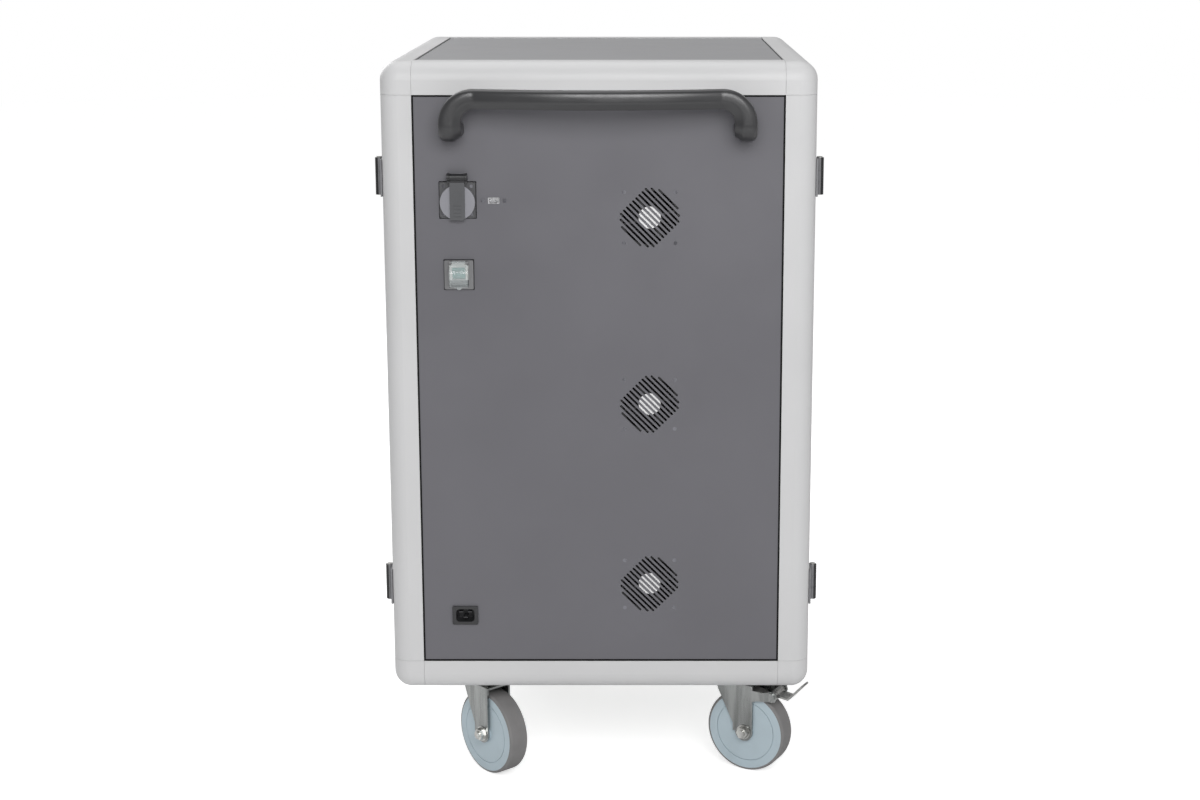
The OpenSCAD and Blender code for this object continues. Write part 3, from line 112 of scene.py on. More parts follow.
class CartSizes(bpy.types.PropertyGroup):
    """Sizes of the fine pieces."""

    handle_width: size("Handle width", "Overall width of the push handle", 433 * MM)
    handle_sides: IntProperty(
        name="Handle sides",
        description="Points round the handle's section",
        default=64,
        min=8,
    )
    label_radius: size("Label radius", "Radius of the blank labels on the fan hubs", 15.5 * MM)
    label_depth: size("Label depth", "Thickness of the fan labels", 0.2 * MM)


class CartStudio(bpy.types.PropertyGroup):
    """Camera and light."""

    camera_place: FloatVectorProperty(
        name="Camera",
        description="Place of the camera",
        default=(0.0607, -3.1084, 1.2515),
        subtype="TRANSLATION",
        unit="LENGTH",
        size=3,
    )
    pitch: FloatProperty(
        name="Pitch",
        description="Camera's angle below the horizon",
        default=math.radians(11.917),
        subtype="ANGLE",
    )
    lens: FloatProperty(
        name="Lens",
        description="Focal length in millimetres on a 36 mm sensor",
        default=61.564,
        min=1,
    )
    shift: FloatVectorProperty(
        name="Shift",
        description="Lens shift",
        default=(-0.0356, -0.04),
        size=2,
    )
    key_power: watts("Key", "Power of the main soft light", 46)
    fill_power: watts("Fill", "Power of the second soft light", 7)
    top_power: watts("Top", "Power of the soft light overhead", 18)
    back_power: watts("Back", "Power of the soft light behind", 42)
    sky_level: FloatProperty(
        name="Sky",
        description="Even light from all round",
        default=0.42,
        min=0,
    )
    floor_glow: FloatProperty(
        name="Floor lift",
        description="What the camera sees the floor raised by",
        default=0.62,
        min=0,
    )


# Material building


def new_group(name, inputs, outputs):
    """Empty shader node group with the given sockets; each is (name, kind, default)."""
    tree = bpy.data.node_groups.new(name, "ShaderNodeTree")
    for label, kind, default in inputs:
        socket = tree.interface.new_socket(label, in_out="INPUT", socket_type=kind)
        if default is not None:
            socket.default_value = default
    for label, kind in outputs:
        tree.interface.new_socket(label, in_out="OUTPUT", socket_type=kind)
    return tree


def add(tree, kind, **values):
    """New node with attributes set from the keywords."""
    node = tree.nodes.new(kind)
    for key, value in values.items():
        setattr(node, key, value)
    return node


def coat_group():
    """Powder or moulded finish: broad mottle and fine grain on Object coordinates.

    Colour = base x (1 + mottle x swing) and roughness = base + spread x swing, where swing is the
    slow noise carried from 0.3..0.7 to -1..1. The grain is a noise height behind a Bump.
    """
    tree = new_group(
        "coat",
        [
            ("Color", "NodeSocketColor", (0.5, 0.5, 0.5, 1)),
            ("Mottle", "NodeSocketFloat", 0.05),
            ("Mottle Scale", "NodeSocketFloat", 8.0),
            ("Stretch", "NodeSocketVector", (1, 1, 1)),
            ("Grain Scale", "NodeSocketFloat", 900.0),
            ("Grain", "NodeSocketFloat", 0.1),
            ("Roughness", "NodeSocketFloat", 0.5),
            ("Roughness Spread", "NodeSocketFloat", 0.06),
        ],
        [
            ("Color", "NodeSocketColor"),
            ("Roughness", "NodeSocketFloat"),
            ("Normal", "NodeSocketVector"),
        ],
    )
    links = tree.links
    entry = add(tree, "NodeGroupInput")
    leave = add(tree, "NodeGroupOutput")
    place = add(tree, "ShaderNodeTexCoord")
    slow = add(tree, "ShaderNodeTexNoise", noise_dimensions="3D")
    slow.inputs["Detail"].default_value = 3
    drawn = add(tree, "ShaderNodeVectorMath", operation="MULTIPLY")
    links.new(place.outputs["Object"], drawn.inputs[0])
    links.new(entry.outputs["Stretch"], drawn.inputs[1])
    links.new(drawn.outputs["Vector"], slow.inputs["Vector"])
    links.new(entry.outputs["Mottle Scale"], slow.inputs["Scale"])
    swing = add(tree, "ShaderNodeMapRange")
    swing.inputs["From Min"].default_value = 0.3
    swing.inputs["From Max"].default_value = 0.7
    swing.inputs["To Min"].default_value = -1
    swing.inputs["To Max"].default_value = 1
    links.new(slow.outputs["Fac"], swing.inputs["Value"])
    gain = add(tree, "ShaderNodeMath", operation="MULTIPLY_ADD")
    links.new(swing.outputs["Result"], gain.inputs[0])
    links.new(entry.outputs["Mottle"], gain.inputs[1])
    gain.inputs[2].default_value = 1
    shade = add(tree, "ShaderNodeVectorMath", operation="SCALE")
    links.new(entry.outputs["Color"], shade.inputs[0])
    links.new(gain.outputs[0], shade.inputs["Scale"])
    links.new(shade.outputs["Vector"], leave.inputs["Color"])
    spread = add(tree, "ShaderNodeMath", operation="MULTIPLY_ADD")
    links.new(swing.outputs["Result"], spread.inputs[0])
    links.new(entry.outputs["Roughness Spread"], spread.inputs[1])
    links.new(entry.outputs["Roughness"], spread.inputs[2])
    links.new(spread.outputs[0], leave.inputs["Roughness"])
    fine = add(tree, "ShaderNodeTexNoise", noise_dimensions="3D")
    fine.inputs["Detail"].default_value = 2
    links.new(place.outputs["Object"], fine.inputs["Vector"])
    links.new(entry.outputs["Grain Scale"], fine.inputs["Scale"])
    bump = add(tree, "ShaderNodeBump")
    bump.inputs["Distance"].default_value = 0.1 * MM
    links.new(entry.outputs["Grain"], bump.inputs["Strength"])
    links.new(fine.outputs["Fac"], bump.inputs["Height"])
    links.new(bump.outputs["Normal"], leave.inputs["Normal"])
    return tree


def zone_group():
    """Second colour inside a box: mask = product over the axes of (|p - centre| < half)."""
    tree = new_group(
        "zone",
        [
            ("Color", "NodeSocketColor", (0.5, 0.5, 0.5, 1)),
            ("Inside", "NodeSocketColor", (0.5, 0.5, 0.5, 1)),
            ("Centre", "NodeSocketVector", (0, 0, 0)),
            ("Half", "NodeSocketVector", (1, 1, 1)),
        ],
        [("Color", "NodeSocketColor")],
    )
    links = tree.links
    entry = add(tree, "NodeGroupInput")
    leave = add(tree, "NodeGroupOutput")
    place = add(tree, "ShaderNodeTexCoord")
    away = add(tree, "ShaderNodeVectorMath", operation="SUBTRACT")
    links.new(place.outputs["Object"], away.inputs[0])
    links.new(entry.outputs["Centre"], away.inputs[1])
    far = add(tree, "ShaderNodeVectorMath", operation="ABSOLUTE")
    links.new(away.outputs["Vector"], far.inputs[0])
    spare = add(tree, "ShaderNodeVectorMath", operation="SUBTRACT")
    links.new(entry.outputs["Half"], spare.inputs[0])
    links.new(far.outputs["Vector"], spare.inputs[1])
    parts = add(tree, "ShaderNodeSeparateXYZ")
    links.new(spare.outputs["Vector"], parts.inputs[0])
    first = add(tree, "ShaderNodeMath", operation="MINIMUM")
    links.new(parts.outputs["X"], first.inputs[0])
    links.new(parts.outputs["Y"], first.inputs[1])
    least = add(tree, "ShaderNodeMath", operation="MINIMUM")
    links.new(first.outputs[0], least.inputs[0])
    links.new(parts.outputs["Z"], least.inputs[1])
    mask = add(tree, "ShaderNodeMath", operation="GREATER_THAN")
    links.new(least.outputs[0], mask.inputs[0])
    mask.inputs[1].default_value = 0
    blend = add(tree, "ShaderNodeMix", data_type="RGBA")
    links.new(mask.outputs[0], blend.inputs["Factor"])
    links.new(entry.outputs["Color"], blend.inputs["A"])
    links.new(entry.outputs["Inside"], blend.inputs["B"])
    links.new(blend.outputs["Result"], leave.inputs["Color"])
    return tree


def principled(name):
    """New node material, its tree and its Principled shader."""
    material = bpy.data.materials.new(name)
    material.use_nodes = True
    tree = material.node_tree
    return material, tree, tree.nodes["Principled BSDF"]


def coated(
    name,
    colour,
    groups,
    roughness=0.5,
    metallic=0.0,
    mottle=0.05,
    mottle_scale=8.0,
    grain=0.1,
    grain_scale=900.0,
    spread=0.06,
    stretch=(1, 1, 1),
    coat=0.0,
    coat_roughness=0.2,
    specular=0.5,
    zones=(),
):
    """Principled material driven by the coat group.

    zones are boxes of another colour, each (colour, centre, half size).
    """
    material, tree, shader = principled(name)
    shader.inputs["Metallic"].default_value = metallic
    shader.inputs["Specular IOR Level"].default_value = specular
    shader.inputs["Coat Weight"].default_value = coat
    shader.inputs["Coat Roughness"].default_value = coat_roughness
    finish = add(tree, "ShaderNodeGroup", node_tree=groups["coat"])
    finish.inputs["Color"].default_value = (*colour, 1)
    finish.inputs["Mottle"].default_value = mottle
    finish.inputs["Mottle Scale"].default_value = mottle_scale
    finish.inputs["Stretch"].default_value = stretch
    finish.inputs["Grain Scale"].default_value = grain_scale
    finish.inputs["Grain"].default_value = grain
    finish.inputs["Roughness"].default_value = roughness
    finish.inputs["Roughness Spread"].default_value = spread
    source = None
    for inside, centre, half in zones:
        zone = add(tree, "ShaderNodeGroup", node_tree=groups["zone"])
        zone.inputs["Color"].default_value = (*colour, 1)
        zone.inputs["Inside"].default_value = (*inside, 1)
        zone.inputs["Centre"].default_value = centre
        zone.inputs["Half"].default_value = half
        if source:
            tree.links.new(source, zone.inputs["Color"])
        source = zone.outputs["Color"]
    if source:
        tree.links.new(source, finish.inputs["Color"])
    tree.links.new(finish.outputs["Color"], shader.inputs["Base Color"])
    tree.links.new(finish.outputs["Roughness"], shader.inputs["Roughness"])
    tree.links.new(finish.outputs["Normal"], shader.inputs["Normal"])
    return material


# Coat values that several finishes share
POWDER = dict(roughness=0.42, mottle=0.02, mottle_scale=6, grain=0.25, grain_scale=1500)
# Zinc: the strong mottle stretched along z is brushing grain and partly painted reflection streaks
ZINC_GRAIN_AND_SHEEN = dict(
    roughness=0.27,
    metallic=1.0,
    mottle=0.34,
    mottle_scale=75,
    grain=0.12,
    grain_scale=700,
    spread=0.1,
    stretch=(1, 1, 0.12),
)
BLACK = dict(roughness=0.38, mottle=0.1, mottle_scale=20, grain=0.2, grain_scale=1800)

# Finish of each material slot: colour, or the name of a colour setting, and the coat values
FINISHES = {
    "frame_grey": ("frame_grey", POWDER),
    "corner_grey": ("frame_grey", dict(POWDER, mottle=0.03, grain=0.3)),
    "panel_grey": ("panel_grey", dict(POWDER, roughness=0.4, mottle=0.04, grain=0.35)),
    "top_grey": ("top_grey", dict(POWDER, roughness=0.4, mottle=0.04, grain=0.35)),
    "zinc_steel": ((0.62, 0.62, 0.60), ZINC_GRAIN_AND_SHEEN),
    "handle_black": (
        "handle_black",
        dict(BLACK, roughness=0.33, mottle=0.05, grain=0.1, specular=0.85),
    ),
    "inner_steel": ((0.55, 0.55, 0.56), POWDER),
    "strip_black": ((0.03, 0.03, 0.03), BLACK),
    "box_grey": ((0.5, 0.5, 0.5), POWDER),
    "cable_black": ((0.02, 0.02, 0.02), dict(BLACK, roughness=0.5)),
    "fan_black": ((0.008, 0.008, 0.009), dict(BLACK, roughness=0.5)),
    "screw_dark": ((0.2, 0.2, 0.22), dict(ZINC_GRAIN_AND_SHEEN, metallic=0.9)),
    "socket_black": ((0.03, 0.03, 0.032), BLACK),
    "flap_grey": ("flap_grey", dict(BLACK, mottle=0.03)),
    "port_metal": ((0.45, 0.45, 0.46), dict(ZINC_GRAIN_AND_SHEEN, roughness=0.35, mottle_scale=400)),
    "breaker_dark": ((0.17, 0.17, 0.175), BLACK),
    "breaker_white": ((0.7, 0.7, 0.68), dict(BLACK, mottle=0.03)),
    "toggle_teal": ("toggle_teal", dict(BLACK, roughness=0.2, mottle=0.05, coat=0.4)),
    "hinge_black": ((0.20, 0.20, 0.21), dict(BLACK, roughness=0.35)),
    "socket_plate": ((0.07, 0.07, 0.074), dict(POWDER, roughness=0.4, mottle=0.04)),
    "lock_metal": ((0.75, 0.75, 0.76), dict(ZINC_GRAIN_AND_SHEEN, roughness=0.22, mottle=0.05)),
    # The fork's zinc is darkened as painted dark reflection
    "fork_zinc": ((0.36, 0.37, 0.365), ZINC_GRAIN_AND_SHEEN),
    "axle_steel": ((0.6, 0.6, 0.58), dict(ZINC_GRAIN_AND_SHEEN, roughness=0.28)),
    "wheel_blue": ("wheel_blue", dict(BLACK, roughness=0.36, mottle=0.04, mottle_scale=25)),
    "tread_grey": ("tread_grey", dict(BLACK, roughness=0.7, mottle_scale=30, grain=0.4)),
    "pedal_zinc": ((0.42, 0.42, 0.41), ZINC_GRAIN_AND_SHEEN),
}


def window_material(name):
    """Clear tinted moulding of the breaker cover: plain Principled with alpha and a clear coat."""
    material, tree, shader = principled(name)
    shader.inputs["Roughness"].default_value = 0.12
    shader.inputs["IOR"].default_value = 1.45
    noise = add(tree, "ShaderNodeTexNoise", noise_dimensions="3D")
    noise.inputs["Scale"].default_value = 60
    place = add(tree, "ShaderNodeTexCoord")
    tree.links.new(place.outputs["Object"], noise.inputs["Vector"])
    blend = add(tree, "ShaderNodeMix", data_type="RGBA")
    blend.inputs["A"].default_value = (0.60, 0.66, 0.66, 1)
    blend.inputs["B"].default_value = (0.70, 0.74, 0.74, 1)
    tree.links.new(noise.outputs["Fac"], blend.inputs["Factor"])
    tree.links.new(blend.outputs["Result"], shader.inputs["Base Color"])
    shader.inputs["Alpha"].default_value = 0.25
    shader.inputs["Coat Weight"].default_value = 0.6
    shader.inputs["Coat Roughness"].default_value = 0.08
    return material


# Mesh building


def new_piece(name, verts, faces, material, body=ROOT, smooth=40):
    """Mesh object from points and faces, with outward normals, riding on a body."""
    mesh = bpy.data.meshes.new(name)
    mesh.from_pydata(np.asarray(verts).reshape(-1, 3).tolist(), [], faces)
    work = bmesh.new()
    work.from_mesh(mesh)
    bmesh.ops.remove_doubles(work, verts=work.verts, dist=1e-7)
    bmesh.ops.recalc_face_normals(work, faces=work.faces)
    work.to_mesh(mesh)
    work.free()
    mesh.polygons.foreach_set("use_smooth", [True] * len(mesh.polygons))
    mesh.set_sharp_from_angle(angle=math.radians(smooth))
    mesh.materials.append(material)
    piece = bpy.data.objects.new(name, mesh)
    bpy.context.collection.objects.link(piece)
    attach(piece, body)
    return piece


def tube_faces(rings, sides, closed=False):
    """Faces of a grid of rings whose sides wrap round, capped at both ends unless closed."""
    k = np.arange(sides)
    n = (k + 1) % sides
    count = rings if closed else rings - 1
    i = np.arange(count)[:, None]
    j = (i + 1) % rings
    corners = [i * sides + k, i * sides + n, j * sides + n, j * sides + k]
    faces = np.stack(corners, axis=-1).reshape(-1, 4).tolist()
    if not closed:
        faces.append(k[::-1].tolist())
        faces.append((k + (rings - 1) * sides).tolist())
    return faces


def lathe(profile, centre, axis_rows, sides=48):
    """Profile (n, 2) of radius r and height h turned about an axis.

    p = centre + r (u cos t + v sin t) + h w, where u, v and w are the axis rows.
    """
    t = np.linspace(0, 2 * np.pi, sides, endpoint=False)
    u, v, w = (np.array(row, float) for row in axis_rows)
    r = profile[:, 0][:, None, None]
    h = profile[:, 1][:, None, None]
    turn = np.cos(t)[None, :, None] * u + np.sin(t)[None, :, None] * v
    return np.array(centre) + r * turn + h * w


# Push handle


def handle_stations(width):
    """Stations of the handle's right half, from its middle to the panel, and the frame's near y.

    Each station is x, distance out, z, turn, lean, section height and section depth. The half is
    a bowed bar, a quarter bend down, a quarter bend in, and a straight foot that ends sunk.
    """
    near_y = node_box("frame_posts")[0][1]
    foot_z = (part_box("handle_bolts")[0][2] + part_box("handle_bolts")[1][2]) / 2
    bar_h, bar_d, foot_w, foot_h = 27 * MM, 22 * MM, 31 * MM, 26 * MM
    corner, bend = 33 * MM, 13.5 * MM
    reach_mid, bow, sunk = 69 * MM, 23 * MM, 1.5 * MM
    bar_steps, bend_steps, foot_steps = 60, 26, 8
    foot_x = (width - foot_w) / 2
    turn_x = foot_x - corner
    bar_z = foot_z + corner + bend
    end_out = reach_mid - bow
    x = turn_x * np.linspace(0, 1, bar_steps)
    one, zero = np.ones_like(x), np.zeros_like(x)
    bowed = end_out + bow * (1 - (x / turn_x) ** 2)
    bar = np.stack([x, bowed, bar_z * one, zero, zero, bar_h * one, bar_d * one], 1)
    s = np.linspace(0, 1, bend_steps)[1:]
    a = s * np.pi / 2
    one, zero = np.ones_like(s), np.zeros_like(s)
    arc_x, arc_z = turn_x + corner * np.sin(a), bar_z - corner + corner * np.cos(a)
    arc_h = bar_h + (foot_w - bar_h) * s
    arc = np.stack([arc_x, end_out * one, arc_z, a, zero, arc_h, bar_d * one], 1)
    leg_out, leg_z = end_out - bend + bend * np.cos(a), foot_z + bend - bend * np.sin(a)
    leg_d = bar_d + (foot_h - bar_d) * s
    leg = np.stack([foot_x * one, leg_out, leg_z, one * np.pi / 2, a, foot_w * one, leg_d], 1)
    out = np.linspace(end_out - bend, -sunk, foot_steps)[1:]
    one = np.ones_like(out)
    turned = one * np.pi / 2
    foot = np.stack(
        [foot_x * one, out, foot_z * one, turned, turned, foot_w * one, foot_h * one], 1
    )
    return np.concatenate([bar, arc, leg, foot]), near_y


def handle_section(sides):
    """Unit outline of the section: a superellipse whose front falls back below a crease."""
    t = np.linspace(0, 2 * np.pi, sides, endpoint=False)
    exponent, crease, fall = 0.62, -0.28, 0.62
    w = np.sign(np.cos(t)) * np.abs(np.cos(t)) ** exponent
    d = np.sign(np.sin(t)) * np.abs(np.sin(t)) ** exponent
    lower = np.clip((crease - w) / (1 + crease), 0, 1)
    return w, np.where(d > 0, np.minimum(d, 1 - fall * lower), d)


def make_handle(material, width, sides):
    """Handle surface: station centre + w x side + d x depth for each outline point of each ring."""
    half, near_y = handle_stations(width)
    w, d = handle_section(sides)
    side, depth = half[:, 5, None] / 2 * w, half[:, 6, None] / 2 * d
    turn, lean = half[:, 3, None], half[:, 4, None]
    x = half[:, 0, None] + side * np.sin(turn)
    y = near_y - half[:, 1, None] - depth * np.cos(lean)
    z = half[:, 2, None] + side * np.cos(turn) - depth * np.sin(lean)
    right = np.stack([x, y, z], -1)
    left = right[:0:-1].copy()
    left[..., 0] *= -1
    rings = np.concatenate([left, right])
    faces = tube_faces(len(rings), sides)
    piece = new_piece("handle_grip", rings, faces, material, smooth=50)
    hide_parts("push_handle")


# Shade strips: near-black strips laid in the gaps as painted shade

# Sections: width, depth, and the height of the middle over the face that the strip lies on
PANEL_STRIP = (2.6 * MM, 0.8 * MM, 0.42 * MM)
TOP_STRIP = (1.9 * MM, 2 * MM, -1.05 * MM)
DOOR_STRIP = (2 * MM, 4 * MM, -6 * MM)
PLATE_STRIP = (0.9 * MM, 1.4 * MM, 0.72 * MM)

# Gap round a panel, whose middle the painted-shade strip follows
PANEL_GAP = 1.4 * MM
TOP_GAP = 2 * MM

# Distance from the edge of a door or a plate to the middle of its painted-shade strip
DOOR_REACH = 1.5 * MM
PLATE_REACH = 0.5 * MM

# Height of the outlet's square plate, under its hinge block
OUTLET_PLATE = 50 * MM


def strip_section(width, depth, lift, points=12):
    """Rounded strip section (n, 2): outward offset and height, a superellipse raised by lift."""
    t = np.linspace(0, 2 * np.pi, points, endpoint=False) + np.pi / points
    a = np.sign(np.cos(t)) * np.abs(np.cos(t)) ** 0.5 * width / 2
    b = np.sign(np.sin(t)) * np.abs(np.sin(t)) ** 0.5 * depth / 2
    return np.stack([a, b + lift], 1)


def make_shade_strip(name, centre, half, axes, section, material):
    """Closed rectangular loop of a strip section.

    p = centre + s_u (h_u + a) u + s_v (h_v + a) v + b w, for each corner (s_u, s_v) and each
    section point (a, b).
    """
    u, v, w = (np.array(row, float) for row in axes)
    corners = np.array([(1, 1), (-1, 1), (-1, -1), (1, -1)], float)
    plane = corners[:, None, :] * (np.array(half)[None, None, :] + section[None, :, :1])
    rings = np.array(centre) + plane[..., :1] * u + plane[..., 1:] * v + section[None, :, 1:] * w
    faces = tube_faces(len(corners), len(section), closed=True)
    return new_piece(name, rings, faces, material)


def panel_shade_strip(name, node, axis, side, gap, strip, material):
    """Near-black strip in the gap round a flat panel, painting in the gap's shade; axis is the
    panel's normal and side its outward way.
    """
    low, high = node_box(node)
    across = [k for k in range(3) if k != axis]
    centre = (low + high) / 2
    centre[axis] = (high if side > 0 else low)[axis]
    rows = np.eye(3)
    half = [(high - low)[k] / 2 + gap / 2 for k in across]
    axes = (rows[across[0]], rows[across[1]], side * rows[axis])
    return make_shade_strip(name, centre, half, axes, strip_section(*strip), material)


def colour_zones():
    """Boxes of a second colour, by slot, each (colour, centre, half size).

    They colour the flap's strap, the outlet's hinge block, the breaker body's foot and the hinges'
    rims. Each reaches far past its piece, except at the edge between the two colours.
    """
    flap_low, flap_high = node_box("outlet_flap")
    middle = (flap_low + flap_high) / 2
    plate_top = node_box("outlet_socket")[0][2] + OUTLET_PLATE
    foot_low = node_box("breaker_body")[0][2]
    outer = node_box("hinge_frame_leaves")[1][0]
    strap_half, foot_h, leaf_rim = 10.4 * MM, 9 * MM, 4.5 * MM
    strap_grey, block_black = (0.085, 0.087, 0.092), (0.02, 0.02, 0.022)
    foot_grey, rim_black = (0.05, 0.055, 0.06), (0.012, 0.012, 0.013)
    far, whole = 1.0, 9.0
    block = (block_black, (middle[0], middle[1], plate_top + far), (far, far, far))
    foot = (foot_grey, (middle[0], middle[1], foot_low - far + foot_h), (far, far, far))
    rim_x = outer + far - leaf_rim
    return {
        "flap_grey": [(strap_grey, tuple(middle), (strap_half, far, far)), block],
        "socket_plate": [block],
        "breaker_white": [foot],
        "hinge_black": [(rim_black, (s * rim_x, 0, 0), (far, whole, whole)) for s in (-1, 1)],
    }


# Operators

MATERIALS = {}


def settings():
    """The scene's three property groups."""
    scene = bpy.context.scene
    return scene.cart_colours, scene.cart_sizes, scene.cart_studio


class CartFinishes(bpy.types.Operator):
    """Give every solid of the cart its finish"""

    bl_idname = "cart.finishes"
    bl_label = "Finish the solids"

    def execute(self, context):
        colours = settings()[0]
        groups = {"coat": coat_group(), "zone": zone_group()}
        zones = colour_zones()
        for slot, (colour, values) in FINISHES.items():
            base = tuple(getattr(colours, colour)) if isinstance(colour, str) else colour
            MATERIALS[slot] = coated(slot, base, groups, zones=zones.get(slot, ()), **values)
        MATERIALS["cover_tint"] = window_material("cover_tint")
        white, black = (0.9, 0.9, 0.9), (0.006, 0.006, 0.006)
        MATERIALS["label_white"] = coated("label_white", white, groups, roughness=0.5, mottle=0.02)
        # Near-black, dull finish of the strips that paint the shade in the gaps
        MATERIALS["seal_black"] = coated("seal_black", black, groups, roughness=0.8, specular=0.2)
        for part in frame["record"]["subparts"]:
            solid = frame["nodes"][part["node"]]
            for slot in solid.material_slots:
                slot.material = MATERIALS[part["material_slot"]]
        return {"FINISHED"}


class CartHandle(bpy.types.Operator):
    """Make the push handle's smooth moulding"""

    bl_idname = "cart.handle"
    bl_label = "Push handle"

    def execute(self, context):
        sizes = settings()[1]
        make_handle(MATERIALS["handle_black"], sizes.handle_width, sizes.handle_sides)
        return {"FINISHED"}


class CartLabels(bpy.types.Operator):
    """Put the blank white labels on the fan hubs"""

    bl_idname = "cart.labels"
    bl_label = "Fan labels"

    def execute(self, context):
        sizes = settings()[1]
        low, high = node_box("fan_frames")
        x = (low[0] + high[0]) / 2
        y = low[1]
        for tier in TIERS:
            rotor_low, rotor_high = node_box("fan_rotor_" + tier)
            z = (rotor_low[2] + rotor_high[2]) / 2
            edge = sizes.label_radius
            deep = sizes.label_depth
            rim = deep / 4
            profile = np.array([[0, 0], [edge - rim, 0], [edge, rim], [edge, deep], [0, deep]])
            rings = lathe(profile, (x, y, z), ((1, 0, 0), (0, 0, 1), (0, 1, 0)))
            faces = tube_faces(len(rings), rings.shape[1])
            new_piece("fan_label_" + tier, rings, faces, MATERIALS["label_white"])
        return {"FINISHED"}


class CartShadeStrips(bpy.types.Operator):
    """Lay near-black strips as painted shade in the gaps round the panels, the doors and the
    fittings
    """

    bl_idname = "cart.seals"
    bl_label = "Seals"

    def execute(self, context):
        # The strips stand in for the shade in the gaps: painted shade
        gap_shade = MATERIALS["seal_black"]
        ends = (("near_seal", "handle_end_panel", -1), ("far_seal", "far_end_panel", 1))
        for name, node, side in ends:
            panel_shade_strip(name, node, 1, side, PANEL_GAP, PANEL_STRIP, gap_shade)
        panel_shade_strip("top_seal", "top_panel", 2, 1, TOP_GAP, TOP_STRIP, gap_shade)
        x_out = node_box("frame_posts")[1][0]
        doors = (("front_door_seal", "front_door", 1), ("rear_door_seal", "rear_door", -1))
        for name, node, side in doors:
            low, high = node_box(node)
            centre = (low + high) / 2
            centre[0] = side * x_out
            half = [(high - low)[k] / 2 + DOOR_REACH for k in (1, 2)]
            axes = ((0, 1, 0), (0, 0, 1), (side, 0, 0))
            make_shade_strip(name, centre, half, axes, strip_section(*DOOR_STRIP), gap_shade)
        face = node_box("handle_end_panel")[0][1]
        for name, centre, half in self.plates():
            place = (centre[0], face, centre[1])
            axes = ((1, 0, 0), (0, 0, 1), (0, -1, 0))
            make_shade_strip(name, place, half, axes, strip_section(*PLATE_STRIP), gap_shade)
        return {"FINISHED"}

    def plates(self):
        """Name, middle and half size of the painted-shade strip round the outlet's and the breaker's
        plates.
        """
        rows = []
        plates = (
            ("outlet_seal", "outlet_socket", OUTLET_PLATE),
            ("breaker_seal", "breaker_frame", None),
        )
        for name, node, tall in plates:
            low, high = node_box(node)
            top = low[2] + tall if tall else high[2]
            middle = ((low[0] + high[0]) / 2, (low[2] + top) / 2)
            half = ((high[0] - low[0]) / 2 + PLATE_REACH, (top - low[2]) / 2 + PLATE_REACH)
            rows.append((name, middle, half))
        return rows


# Soft lights, each with its place and its width and height, and the point that all are aimed at
LAMPS = {
    "key": ((0.25, -2.8, 1.95), (1.7, 1.2)),
    "fill": ((2.8, -2.2, 1.6), (2.2, 2.2)),
    "top": ((-0.3, 0.4, 3.0), (2.0, 2.0)),
    "back": ((-1.9, 2.4, 2.1), (1.8, 1.8)),
}
LAMP_AIM = (0, 0, 0.6)


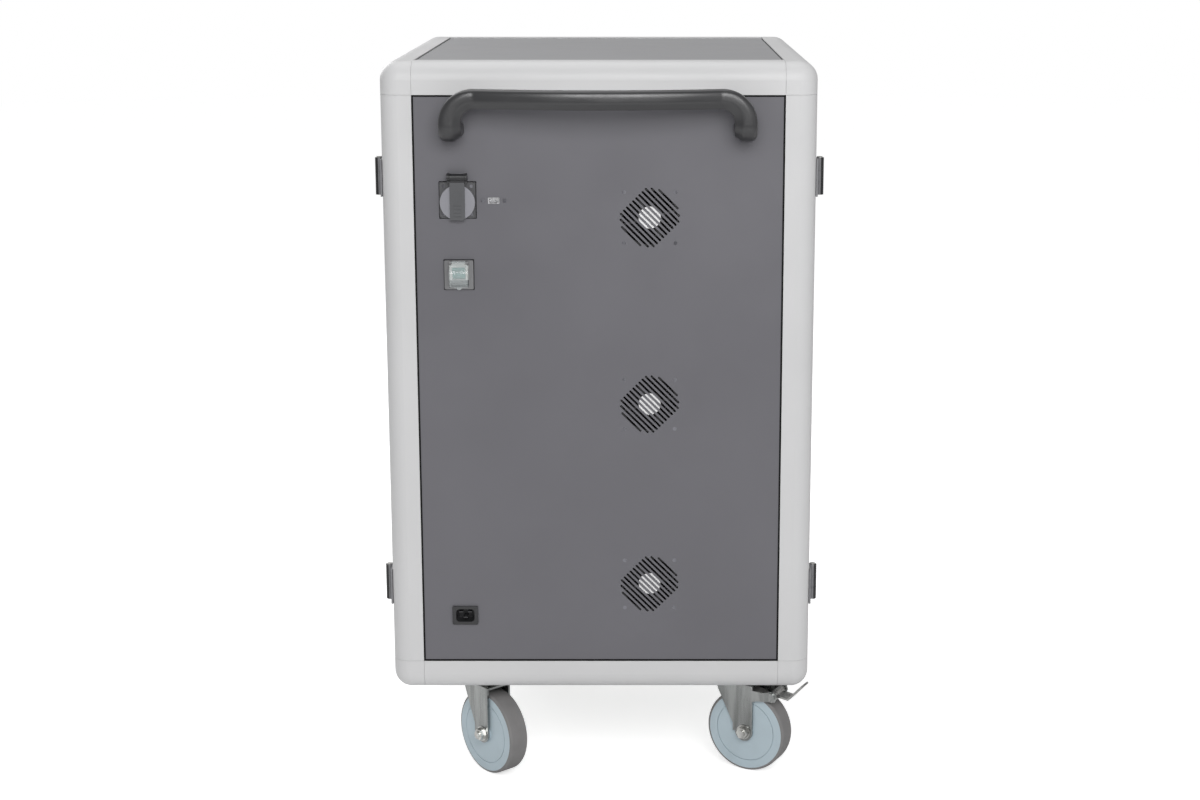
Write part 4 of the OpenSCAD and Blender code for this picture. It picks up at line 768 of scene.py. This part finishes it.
class CartStage(bpy.types.Operator):
    """Set up the camera, the soft lights and the white floor"""

    bl_idname = "cart.stage"
    bl_label = "Studio"

    def execute(self, context):
        studio = settings()[2]
        scene = bpy.context.scene
        scene.view_settings.view_transform = "Standard"
        data = bpy.data.cameras.new("camera")
        data.lens = studio.lens
        data.sensor_width = 36
        data.shift_x, data.shift_y = studio.shift
        camera = bpy.data.objects.new("camera", data)
        camera.location = studio.camera_place
        camera.rotation_euler = Euler((math.pi / 2 - studio.pitch, 0, 0))
        scene.collection.objects.link(camera)
        scene.camera = camera
        for name, (place, extent) in LAMPS.items():
            self.lamp(name, place, extent, getattr(studio, name + "_power"))
        self.world(studio.sky_level)
        self.floor(studio.floor_glow)
        return {"FINISHED"}

    def lamp(self, name, place, extent, power):
        """Rectangular soft light aimed at the cart's middle."""
        data = bpy.data.lights.new(name, "AREA")
        data.shape = "RECTANGLE"
        data.size, data.size_y = extent
        data.energy = power
        lamp = bpy.data.objects.new(name, data)
        lamp.location = place
        lamp.rotation_euler = (Vector(LAMP_AIM) - Vector(place)).to_track_quat("-Z", "Y").to_euler()
        bpy.context.scene.collection.objects.link(lamp)

    def world(self, level):
        """Even grey light; the camera sees white."""
        world = bpy.data.worlds.new("studio")
        bpy.context.scene.world = world
        world.use_nodes = True
        tree = world.node_tree
        sky = tree.nodes["Background"]
        path = add(tree, "ShaderNodeLightPath")
        seen = add(tree, "ShaderNodeMix", data_type="FLOAT")
        seen.inputs["A"].default_value = level
        seen.inputs["B"].default_value = 1
        tree.links.new(path.outputs["Is Camera Ray"], seen.inputs["Factor"])
        tree.links.new(seen.outputs["Result"], sky.inputs["Strength"])
        sky.inputs["Color"].default_value = (1, 1, 1, 1)

    def floor(self, glow):
        """Wide white floor that keeps the cart's shadow; glow lifts it to white for the camera."""
        sides = 64
        t = np.linspace(0, 2 * np.pi, sides, endpoint=False)
        reach = np.array([0, 3.0, 12.0])[:, None]
        rim = np.stack([reach * np.cos(t), reach * np.sin(t), 0 * reach * t], -1)
        mesh = bpy.data.meshes.new("floor")
        faces = tube_faces(len(reach), sides)[:-2]
        mesh.from_pydata(rim.reshape(-1, 3).tolist(), [], faces)
        material, tree, shader = principled("floor_white")
        shader.inputs["Base Color"].default_value = (0.9, 0.9, 0.9, 1)
        shader.inputs["Roughness"].default_value = 0.8
        shader.inputs["Specular IOR Level"].default_value = 0.2
        shader.inputs["Emission Color"].default_value = (1, 1, 1, 1)
        path = add(tree, "ShaderNodeLightPath")
        lift = add(tree, "ShaderNodeMath", operation="MULTIPLY")
        lift.inputs[1].default_value = glow
        tree.links.new(path.outputs["Is Camera Ray"], lift.inputs[0])
        tree.links.new(lift.outputs[0], shader.inputs["Emission Strength"])
        mesh.materials.append(material)
        floor = bpy.data.objects.new("floor", mesh)
        bpy.context.scene.collection.objects.link(floor)


class CartPanel(bpy.types.Panel):
    """Sidebar panel with the cart's settings and steps."""

    bl_idname = "VIEW3D_PT_cart"
    bl_label = "Charging Cart"
    bl_space_type = "VIEW_3D"
    bl_region_type = "UI"
    bl_category = "Cart"

    def draw(self, context):
        for group in settings():
            box = self.layout.box()
            for key in group.__annotations__:
                box.prop(group, key)
        for step in STEPS:
            self.layout.operator(step.bl_idname)


STEPS = (CartFinishes, CartHandle, CartLabels, CartShadeStrips, CartStage)
GROUPS = (("cart_colours", CartColours), ("cart_sizes", CartSizes), ("cart_studio", CartStudio))


def register():
    """Register the classes and hang the settings on the scene."""
    for key, group in GROUPS:
        bpy.utils.register_class(group)
        setattr(bpy.types.Scene, key, PointerProperty(type=group))
    for step in STEPS:
        bpy.utils.register_class(step)
    bpy.utils.register_class(CartPanel)


def unregister():
    """Undo register."""
    bpy.utils.unregister_class(CartPanel)
    for step in reversed(STEPS):
        bpy.utils.unregister_class(step)
    for key, group in reversed(GROUPS):
        delattr(bpy.types.Scene, key)
        bpy.utils.unregister_class(group)


def main():
    """Run every step in order."""
    register()
    for step in STEPS:
        area, name = step.bl_idname.split(".")
        getattr(getattr(bpy.ops, area), name)()


if __name__ == "__main__":
    main()
